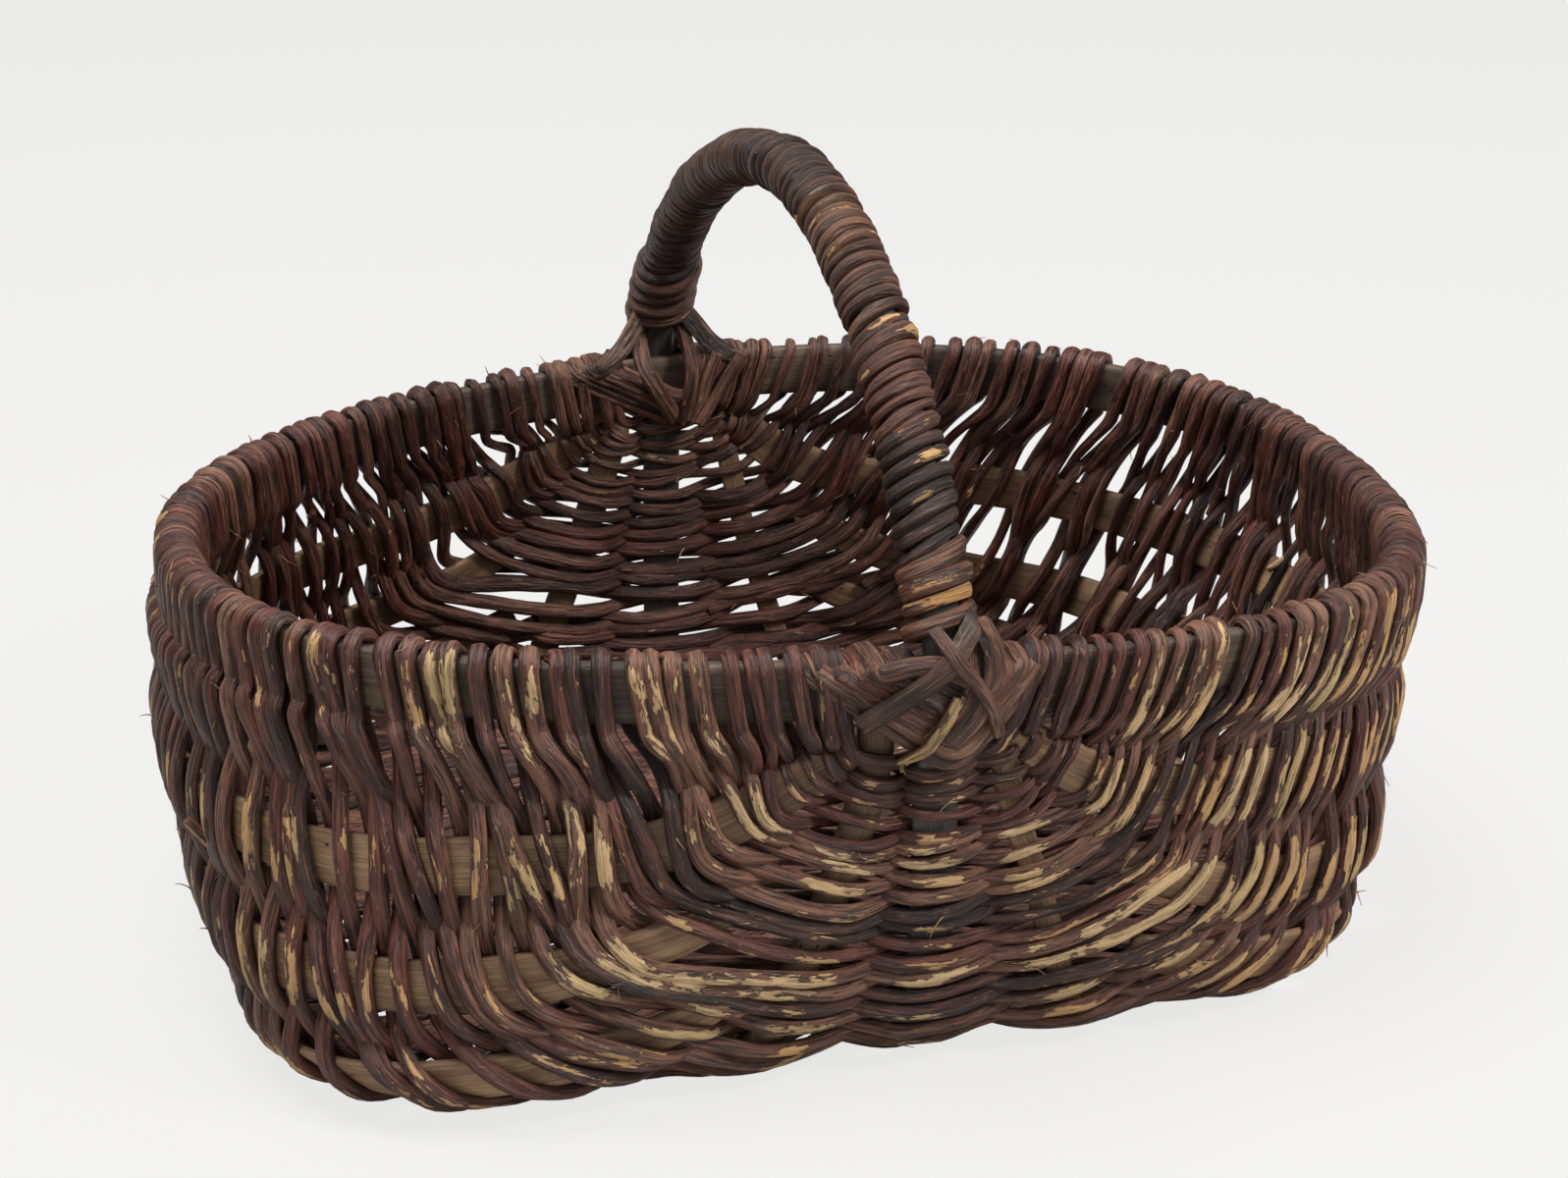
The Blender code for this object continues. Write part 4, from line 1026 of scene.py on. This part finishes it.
def make_rim():
    rows = (1 - np.cos(np.linspace(0, math.pi, 200))) / 2
    rows = (rows + np.linspace(0, 1, 200) * 3) / 4
    right, right_out = rim_places(rows, 1)
    left, left_out = rim_places(rows[-2:0:-1], -1)
    path = np.concatenate([right, left])
    out = unit(softened(np.concatenate([right_out, left_out]), 2))
    bundle = Bundle()
    tall = RIM_TALL / 2 * (1 + 0.02 * wavy(run_along(path), 0.1, 0.4))
    bundle.ring(path, out, tall, RIM_THICK / 2, sides=20, power=0.38)
    bundle.finish("rim_strip", RIM_WOOD, "rim_wood", "rim_hoop")


def settled(height):
    """0 at the rim and above it, 1 where the handle hoop has come to lie in the wall."""
    return smooth((RIM_HEIGHT - RIM_TALL / 2 - height) / HOOP_SETTLE)


def hoop_section(height):
    """Half width and half thickness of the handle hoop, flat below the rim and round above."""
    low = settled(height)
    wide = HANDLE_WIDE + (SPINE_WIDE - HANDLE_WIDE) * low
    thick = HANDLE_THICK + (SPINE_THICK - HANDLE_THICK) * low
    return wide / 2, thick / 2


POLE_OFFSET = RIM_THICK / 2 + HOOP_GAP + HANDLE_THICK / 2
FRONT_FOOT = float(WALL.point(0.0, HALF_TURN / 2)[1]) - POLE_OFFSET
BACK_FOOT = float(WALL.point(1.0, HALF_TURN / 2)[1]) + POLE_OFFSET


def arch_places(turns):
    """Centre and outward direction of the handle arch, from the front (0) to the back (pi)."""
    turns = np.asarray(turns, float)
    lift = np.abs(np.sin(turns)) ** (ARCH_POWER + ARCH_POWER_LEAN * np.cos(turns))
    rise = ARCH_RISE * lift * (1 + ARCH_LEAN * np.cos(turns))
    y = (FRONT_FOOT + BACK_FOOT) / 2 - (BACK_FOOT - FRONT_FOOT) / 2 * np.cos(turns)
    at = np.stack([ARCH_SWAY * np.sin(turns) ** 2, y, RIM_HEIGHT + rise], axis=1)
    heading = heading_of(at)
    return at, np.stack([0 * turns, -heading[:, 2], heading[:, 1]], axis=1)


def spine_places(shares):
    shares = np.asarray(shares, float)
    at = WALL.point(shares, np.full(len(shares), HALF_TURN / 2))
    out = WALL.normal(shares, np.full(len(shares), HALF_TURN / 2))
    out[0] = (0, -1, 0)
    out[-1] = (0, 1, 0)
    out[:, 0] = 0
    out = unit(out)
    low = settled(at[:, 2])
    shift = (SPINE_THICK - RIB_THICK) / 2
    return at + out * (POLE_OFFSET * (1 - low) - shift * low)[:, None], out


def make_handle():
    turns = np.linspace(0, math.pi, 150)
    arch, arch_out = arch_places(turns)
    arch_out[0] = (0, -1, 0)
    arch_out[-1] = (0, 1, 0)
    spine, spine_out = spine_places(np.linspace(0, 1, 220))
    path = np.concatenate([arch, spine[::-1][1:-1]])
    out = np.concatenate([arch_out, spine_out[::-1][1:-1]])
    sections = np.array([hoop_section(p[2]) for p in path])
    bundle = Bundle()
    bundle.ring(path, out, sections[:, 0], sections[:, 1], sides=20, power=0.72)
    bundle.finish("handle_bow", HANDLE_WOOD, "handle_wood", "handle_hoop")


def make_wrap():
    """The close winding of the handle, laid turn by turn, with heavier turns at both ends."""
    at, out = arch_places(np.linspace(0, math.pi, 2001))
    run = run_along(at)
    length = run[-1]
    wound = length - WRAP_FRONT_FOOT - WRAP_FOOT
    total = int(round(wound / WRAP_PITCH))
    steps = np.full(total, 1.0) + rng.normal(0, 0.12, total)
    heavy = np.ones(total)
    heavy[:COLLAR_TURNS] = heavy[-COLLAR_TURNS:] = 1.16
    heavy[[0, -1]] = 1.22
    heavy = heavy * (1 + rng.normal(0, 0.09, total))
    steps = steps * heavy
    steps[[0, -1]] *= 1.25
    edges = np.concatenate([[0], np.cumsum(steps)])
    edges = WRAP_FRONT_FOOT + edges / edges[-1] * wound
    loops = np.linspace(0, total, total * 36 + 1)
    places = np.interp(loops, np.arange(total + 1), edges)
    spin = math.pi + 2 * math.pi * loops * (total + 0.5) / total
    tilts = WRAP_TILT * rng.uniform(0.5, 1.3, total + 1)
    tilts[:COLLAR_TURNS] *= 0.4
    tilts[-COLLAR_TURNS:] *= 0.4
    tilt = np.interp(loops, np.arange(total + 1), tilts)
    places = places + tilt * np.sin(spin) * np.cos(places / length * math.pi)
    centre, radial = (np.stack([np.interp(places, run, line) for line in values.T], axis=1)
                      for values in (at, out))
    radial = unit(radial)
    weight = np.interp(loops, np.arange(total) + 0.5, heavy)
    lift = 0.0001 + 0.0006 * np.abs(wavy(loops * 0.05, 0.02, 0.15, 6)) + 0.0012 * (weight - 1)
    lift = lift + 0.0020 * smooth((loops - total + 6) / 3)
    half_thick = WRAP_HALF_THICK * weight
    wide = HANDLE_WIDE / 2 + half_thick + lift
    thick = HANDLE_THICK / 2 + half_thick + lift
    around = radial * (np.cos(spin) * thick)[:, None] + ACROSS * (np.sin(spin) * wide)[:, None]
    path = centre + around
    ups = unit(around)
    half = WRAP_HALF_WIDE * weight * (1 + 0.12 * wavy(loops * 0.05, 0.03, 0.3, 6))
    worn = np.full(len(loops), 0.35)
    for place in TAN_TURNS:
        near = np.exp(-((places - place) / TAN_SPREAD) ** 2)
        worn = worn + TAN_AMOUNT * near * smooth((np.cos(spin) + 0.5) / 0.8)
    for place in WRAP_GAPS:
        half = half * (1 - GAP_AMOUNT * np.exp(-((places - place) / GAP_SPREAD) ** 2))
    bundle = Bundle()
    cuts = [0, COLLAR_TURNS, *WRAP_CUTS, total - COLLAR_TURNS, total]
    for a, b in zip(cuts, cuts[1:]):
        piece = (loops >= a) & (loops <= b + 0.04)
        bundle.add(path[piece], ups[piece], half[piece], half_thick[piece], sides=14, power=0.9,
                   worn=worn[piece], ridged=0.07)
    bundle.finish("handle_winding", WRAP_BARK, "wrap_bark", "handle_wrap")


def taut(run, heights):
    """The line of a strand pulled tight over what lies under it."""
    kept = []
    for place, height in zip(run, heights):
        while len(kept) > 1:
            (a, low), (b, high) = kept[-2], kept[-1]
            if (high - low) * (place - a) >= (height - low) * (b - a):
                break
            kept.pop()
        kept.append((place, height))
    return np.interp(run, *zip(*kept))


class Crossing:
    """One face of the place where the hoops cross: how far each point of it stands out, as strands
    are laid over each other. Heights count away from the basket's middle on the outer face
    (facing 1) and towards it on the inner face (facing -1)."""

    STEP = 0.0005

    def __init__(self, end, facing):
        self.end, self.facing = end, facing
        self.front = np.array([0.0, end * facing, 0.0])
        self.xs = np.arange(-0.080, 0.0801, self.STEP)
        self.zs = np.arange(0.085, 0.215, self.STEP)
        x, z = np.meshgrid(self.xs, self.zs, indexing="ij")
        shares = np.linspace(0, 0.25, 200)
        shares = shares if end < 0 else 1 - shares
        lines = [np.abs(WALL.point(shares, np.full(200, phi))) for phi in (0.0, HALF_TURN)]
        self.rim_y, self.rim_z = (
            np.where(self.xs > 0, *(np.interp(np.abs(self.xs), line[:, 0], line[:, axis])
                                    for line in lines)) for axis in (1, 2))
        turns = np.linspace(0, 0.8, 120)
        arch, _ = arch_places(turns if end < 0 else math.pi - turns)
        spine, _ = spine_places(np.linspace(0, 1, 600))
        spine = spine[:150] if end < 0 else spine[::-1][:150]
        hoop = np.concatenate([spine[::-1], arch[1:]])
        hoop = hoop[np.argsort(hoop[:, 2])]
        self.hoop_y = np.interp(self.zs, hoop[:, 2], np.abs(hoop[:, 1]))
        self.half_hoop = np.array([hoop_section(height) for height in self.zs])
        half_wide, half_thick = self.half_hoop.T
        rim = facing * self.rim_y[:, None]
        self.rim_top = float(self.rim_z.max()) + RIM_TALL / 2 - 0.004
        self.field = rim - 0.004 + 0.0105 * smooth((0.133 - z) / 0.004)
        on_rim = np.abs(z - self.rim_z[:, None]) < RIM_TALL / 2
        self.field = np.where(on_rim, rim + RIM_THICK / 2, self.field)
        bulge = 1 - (x / half_wide) ** 2
        pole = facing * self.hoop_y + half_thick * np.sqrt(np.maximum(bulge, 0))
        self.field = np.where(bulge > 0, np.maximum(self.field, pole), self.field)

    def cell(self, place, grid):
        """Number of the grid line nearest to a place, or to each of several."""
        return np.clip(np.round((place - grid[0]) / self.STEP).astype(int), 0, len(grid) - 1)

    def height(self, points):
        return self.field[self.cell(points[:, 0], self.xs), self.cell(points[:, 2], self.zs)]

    def lay(self, places, half_wide, half_thick):
        """Lays a strand along (x, z) places over what is there, and returns its points."""
        line, _ = resample(np.array([(x, 0.0, z) for x, z in places]), 0.0007)
        line = softened(line, 12)
        heading = heading_of(line)
        side = np.stack([heading[:, 2], 0 * heading[:, 0], -heading[:, 0]], axis=1)
        under = self.height(line)
        for share in (-0.6, 0.6):
            beside = self.height(line + side * (half_wide * share))
            under = np.maximum(under, beside - half_thick * 0.4)
        if line[0, 2] < self.rim_top:
            under[:END_REST] = under[:END_REST].max()
        under[-END_REST:] = under[-END_REST:].max()
        under = softened(taut(run_along(line), under), 6)
        reach = int(half_wide / self.STEP) + 2
        for (x, _, z), low in zip(line, under):
            rows, columns = (slice(max(k - reach, 0), k + reach + 1)
                             for k in (self.cell(x, self.xs), self.cell(z, self.zs)))
            off = (self.xs[rows, None] - x) ** 2 + (self.zs[None, columns] - z) ** 2
            crown = 1 - off / half_wide**2
            top = low + half_thick * PRESSED * (1 + np.sqrt(np.maximum(crown, 0)))
            patch = self.field[rows, columns]
            self.field[rows, columns] = np.where(crown > 0, np.maximum(patch, top), patch)
        line[:, 1] = self.end * self.facing * (under + half_thick)
        return line

    def over_rim(self, x, half_thick):
        """Points over the rim's top from this face to the other one."""
        i = self.cell(x, self.xs)
        top = self.rim_z[i] + RIM_TALL / 2 + half_thick
        off = self.facing * (RIM_THICK / 2 + half_thick)
        here, there = self.rim_y[i] + off, self.rim_y[i] - off
        return np.array([[x, self.end * (here * near + there * far), top - dip]
                         for near, far, dip in ((0.85, 0.15, 0.0004), (0.5, 0.5, 0.0),
                                                (0.15, 0.85, 0.0004))])

    def round_pole(self, side, z, half_thick):
        """Points round one side of the pole to behind it."""
        k = self.cell(z, self.zs)
        wide, thick = self.half_hoop[k] + half_thick
        behind = self.hoop_y[k] - self.facing * thick
        return np.array([[side * wide, self.end * self.hoop_y[k], z + 0.001],
                         [side * wide * 0.5, self.end * behind, z + 0.002]])


def lay_strand(bundle, face, places, half_wide, half_thick, tuck, power, worn, ridged):
    """Adds a strand laid over a lashing. One that starts above the rim comes over it, and one with
    a tuck ends round that side of the pole."""
    line = face.lay(places, half_wide, half_thick)
    ups = np.repeat([face.front], len(line), axis=0)
    if places[0][1] > STRAP_OVER_RIM:
        line = np.concatenate([face.over_rim(places[0][0], half_thick + OVER_FAN)[::-1], line])
        ups = np.concatenate([[UP - face.front * 0.8, UP, UP + face.front * 0.8], ups])
    if tuck:
        line = np.concatenate([line, face.round_pole(tuck, places[-1][1], half_thick)])
        ups = np.concatenate([ups, [ACROSS * tuck, -face.front]])
    line, ups, _ = resample(line, 0.0010, ups)
    bundle.add(softened(line, 5), unit(softened(ups, 5)), half_wide, half_thick, sides=14,
               power=power, worn=np.full(len(line), worn), ridged=ridged)


def make_lashing(end, name, node, straps):
    """All strands of one lashing: nested vees on both faces, joined over the rim, then straps.
    Returns its outer face."""
    outer, inner = Crossing(end, 1), Crossing(end, -1)
    bundle = Bundle()
    for k in range(VEES - 1, -1, -1):
        half_wide = rng.uniform(0.0031, 0.0034)
        half_thick = rng.uniform(0.0014, 0.0018)
        left = -(VEE_LEFT[0] + VEE_LEFT[1] * k + rng.uniform(-0.0003, 0.0003))
        right = VEE_RIGHT[0] + VEE_RIGHT[1] * k + rng.uniform(-0.0003, 0.0003)
        low, back_low = (first + step * k for first, step in (VEE_FRONT_LOW, VEE_BACK_LOW))
        top_left, top_right = (outer.rim_z[outer.cell(x, outer.xs)] + RIM_TALL / 2 - 0.001
                               for x in (left, right))
        front = outer.lay([(left, top_left), (VEE_MIDDLE - 0.004, low + 0.0015),
                           (VEE_MIDDLE + 0.003, low + 0.001), (right, top_right)],
                          half_wide, half_thick)
        back = inner.lay([(right * 0.96, top_right), (VEE_MIDDLE + 0.006, back_low + 0.002),
                          (VEE_MIDDLE, back_low + 0.002), (left * 0.96, top_left)],
                         half_wide, half_thick)
        path = np.concatenate([front, outer.over_rim(right, half_thick), back,
                               outer.over_rim(left, half_thick)[::-1], front[:6]])
        over = [UP + outer.front * 0.8, UP, UP + inner.front * 0.8]
        ups = np.concatenate([np.repeat([outer.front], len(front), axis=0), over,
                              np.repeat([inner.front], len(back), axis=0), over[::-1],
                              np.repeat([outer.front], 6, axis=0)])
        path, ups, _ = resample(path, FINE_STEP, ups)
        bundle.add(softened(path, 4), unit(softened(ups, 4)), half_wide, half_thick, sides=16,
                   power=0.85, worn=np.full(len(path), 0.3), ridged=0.03)
    for facing, places, half_wide, half_thick, tuck in straps:
        lay_strand(bundle, outer if facing > 0 else inner, places, half_wide, half_thick, tuck,
                   0.7, 0.45, 0.06)
    bundle.finish(name, LASH_BARK, "lashing_bark", node)
    return outer


# Straps: face (1 outer, -1 inner), places (x, z), half width, half thickness, side of the tuck
FRONT_STRAPS = [
    (1, [(-0.0175, 0.1660), (-0.0100, 0.1610), (0.0010, 0.1520), (0.0080, 0.1450)],
     0.0029, 0.0011, 0),
    (1, [(-0.0120, 0.1670), (-0.0040, 0.1630), (0.0050, 0.1570), (0.0110, 0.1510)],
     0.0029, 0.0011, 0),
    (1, [(-0.0090, 0.1430), (0.0010, 0.1520), (0.0080, 0.1640), (0.0095, 0.1740),
         (0.0070, 0.1830)], 0.0038, 0.0014, 1),
    (1, [(-0.0020, 0.1420), (0.0070, 0.1510), (0.0140, 0.1630), (0.0155, 0.1720),
         (0.0105, 0.1825)], 0.0042, 0.0015, 1),
    (1, [(-0.0250, 0.1680), (-0.0170, 0.1715), (-0.0060, 0.1720), (0.0060, 0.1650)],
     0.0035, 0.0019, 0),
]
BACK_STRAPS = [
    (-1, [(0.0030, 0.1390), (-0.0120, 0.1660), (-0.0120, 0.1860)], 0.0040, 0.0015, -1),
    (-1, [(0.0060, 0.1370), (0.0110, 0.1600), (0.0100, 0.1830)], 0.0032, 0.0014, 1),
    (-1, [(-0.0330, 0.1660), (-0.0210, 0.1745), (-0.0100, 0.1880)], 0.0042, 0.0018, -1),
    (-1, [(0.0310, 0.1660), (0.0200, 0.1740), (0.0100, 0.1880)], 0.0042, 0.0018, 1),
    (-1, [(0.0100, 0.1380), (0.0180, 0.1580), (0.0230, 0.1690)], 0.0030, 0.0014, 0),
    (-1, [(0.0130, 0.1370), (0.0240, 0.1530), (0.0350, 0.1680)], 0.0028, 0.0014, 0),
    (1, [(0.0200, 0.1440), (0.0130, 0.1640), (0.0100, 0.1850)], 0.0038, 0.0015, 1),
    (1, [(-0.0200, 0.1440), (-0.0130, 0.1640), (-0.0100, 0.1850)], 0.0038, 0.0015, -1),
]


def cross_strand(face, name, node, places, half_wide, half_thick, tuck):
    """A single strand laid slantwise over a lashing."""
    bundle = Bundle()
    lay_strand(bundle, face, places, half_wide, half_thick, tuck, 0.8, 0.4, 0.05)
    bundle.finish(name, LASH_BARK, "lashing_bark", node)


def split_strand(face):
    """The peeled strand, split in two and frayed, that hangs over the front lashing."""
    bundle = Bundle()
    for offset, half_wide in ((0.0, 0.0016), (0.0028, 0.0013)):
        places = [(x - offset, z) for x, z in ((0.0020, 0.1600), (-0.0035, 0.1500),
                                               (-0.0095, 0.1400), (-0.0130, 0.1300))]
        line = face.lay(places, half_wide, 0.0011)
        ups = np.repeat([face.front], len(line), axis=0)
        bundle.add(line, ups, half_wide, 0.0011, sides=10, worn=np.full(len(line), 1.4), tone=0.7)
    for _ in range(9):
        start = np.array([-0.0145 + rng.uniform(-0.0015, 0.0015), line[-1][1] - 0.0005, 0.1315])
        tip = start + np.array([rng.uniform(-0.003, 0.004), -0.0012, rng.uniform(-0.006, -0.001)])
        bundle.add(np.linspace(start, tip, 5), np.repeat([face.front], 5, axis=0), 0.0004, 0.0003,
                   sides=5, worn=np.full(5, 1.4), tone=0.6)
    bundle.finish("lashing_front_split_strand", LASH_BARK, "lashing_bark")


def floor_material():
    """A pale floor that still takes the shadow: part of what the camera sees of it is plain."""
    n = Nodes(bpy.data.materials.new("floor_finish"))
    spot = n.noise(n.add("ShaderNodeTexCoord", "Object"), 3.0, 2)
    shadowed = tinted(FLOOR_COLOUR, 0.99, 0.99, 0.99)
    n.shade(Base_Color=n.mix(n.span(spot, 0.3, 0.7), FLOOR_COLOUR, shadowed), Roughness=0.9)
    seen = n.add("ShaderNodeLightPath", "Is Camera Ray")
    n.cover(n.math("MULTIPLY", seen, PALE_SHARE), n.shader.outputs[0],
            n.add("ShaderNodeEmission", 0, {"Color": PALE}), "Material Output")
    return n.made


def look(heading):
    return Vector(heading).to_track_quat("-Z", "Y").to_euler()


def make_stage():
    """A pale floor that turns up into a backdrop, soft lamps and a plain world."""
    profile = [(-6.0, 0.0), (2.0, 0.0)]
    for k in range(1, 13):
        turn = k / 12 * math.pi / 2
        profile.append((2.0 + 1.2 * math.sin(turn), 1.2 * (1 - math.cos(turn))))
    profile.append((3.2, 5.0))
    points = [(x, y, z + FLOOR_LEVEL) for x in (-7.0, 7.0) for y, z in profile]
    count = len(profile)
    faces = [(k, k + count, k + count + 1, k + 1) for k in range(count - 1)]
    mesh = bpy.data.meshes.new("floor")
    mesh.from_pydata(points, [], faces)
    mesh.shade_smooth()
    mesh.materials.append(floor_material())
    floor = placed("floor", mesh)
    for name, place, size, energy, colour in LAMPS:
        data = bpy.data.lights.new(name, "AREA")
        data.shape = "DISK"
        data.size = size
        data.energy = energy
        data.color = colour
        lamp = placed(name, data)
        lamp.location = place
        lamp.rotation_euler = look(unit(np.array(LAMP_AIM) - np.array(place)))
    n = Nodes(bpy.data.worlds.new("studio"))
    bpy.context.scene.world = n.made
    light = n.tree.nodes["Background"]
    n.feed(light.inputs["Color"], (1.0, 1.0, 1.0))
    n.feed(light.inputs["Strength"], WORLD_STRENGTH)
    # Where the camera looks past the backdrop, it sees the backdrop's own pale colour
    n.cover(n.add("ShaderNodeLightPath", "Is Camera Ray"), light.outputs[0],
            n.add("ShaderNodeBackground", 0, {"Color": PALE}), "World Output")
    bpy.context.scene.view_settings.view_transform = "Standard"


def make_camera():
    data = bpy.data.cameras.new("camera")
    data.lens = LENS
    data.sensor_width = SENSOR
    camera = placed("camera", data)
    camera.location = np.array(CAMERA_PLACE) + SHIFT
    camera.rotation_euler = look(-np.array(CAMERA_BACK))
    bpy.context.scene.camera = camera


make_rim()
make_handle()
make_ribs()
make_weavers()
make_wrap()
front_face = make_lashing(-1, "lashing_front_strands", "lashing_front", FRONT_STRAPS)
back_face = make_lashing(1, "lashing_back_strands", "lashing_back", BACK_STRAPS)
cross_strand(front_face, "strap_front_thick", "cross_strand_front_thick",
             [(-0.0305, 0.1480), (-0.0175, 0.1600), (-0.0030, 0.1725), (0.0075, 0.1830)],
             0.0041, 0.0022, 1)
cross_strand(front_face, "strap_front_thin", "cross_strand_front_thin",
             [(0.0180, 0.1410), (0.0118, 0.1560), (0.0058, 0.1650), (-0.0020, 0.1750),
              (-0.0060, 0.1825)], 0.0025, 0.0019, 0)
split_strand(front_face)
cross_strand(back_face, "strap_back", "cross_strand_back",
             [(-0.0260, 0.1500), (-0.0080, 0.1640), (0.0080, 0.1760), (0.0110, 0.1840)],
             0.0030, 0.0018, 1)
make_stage()
make_camera()
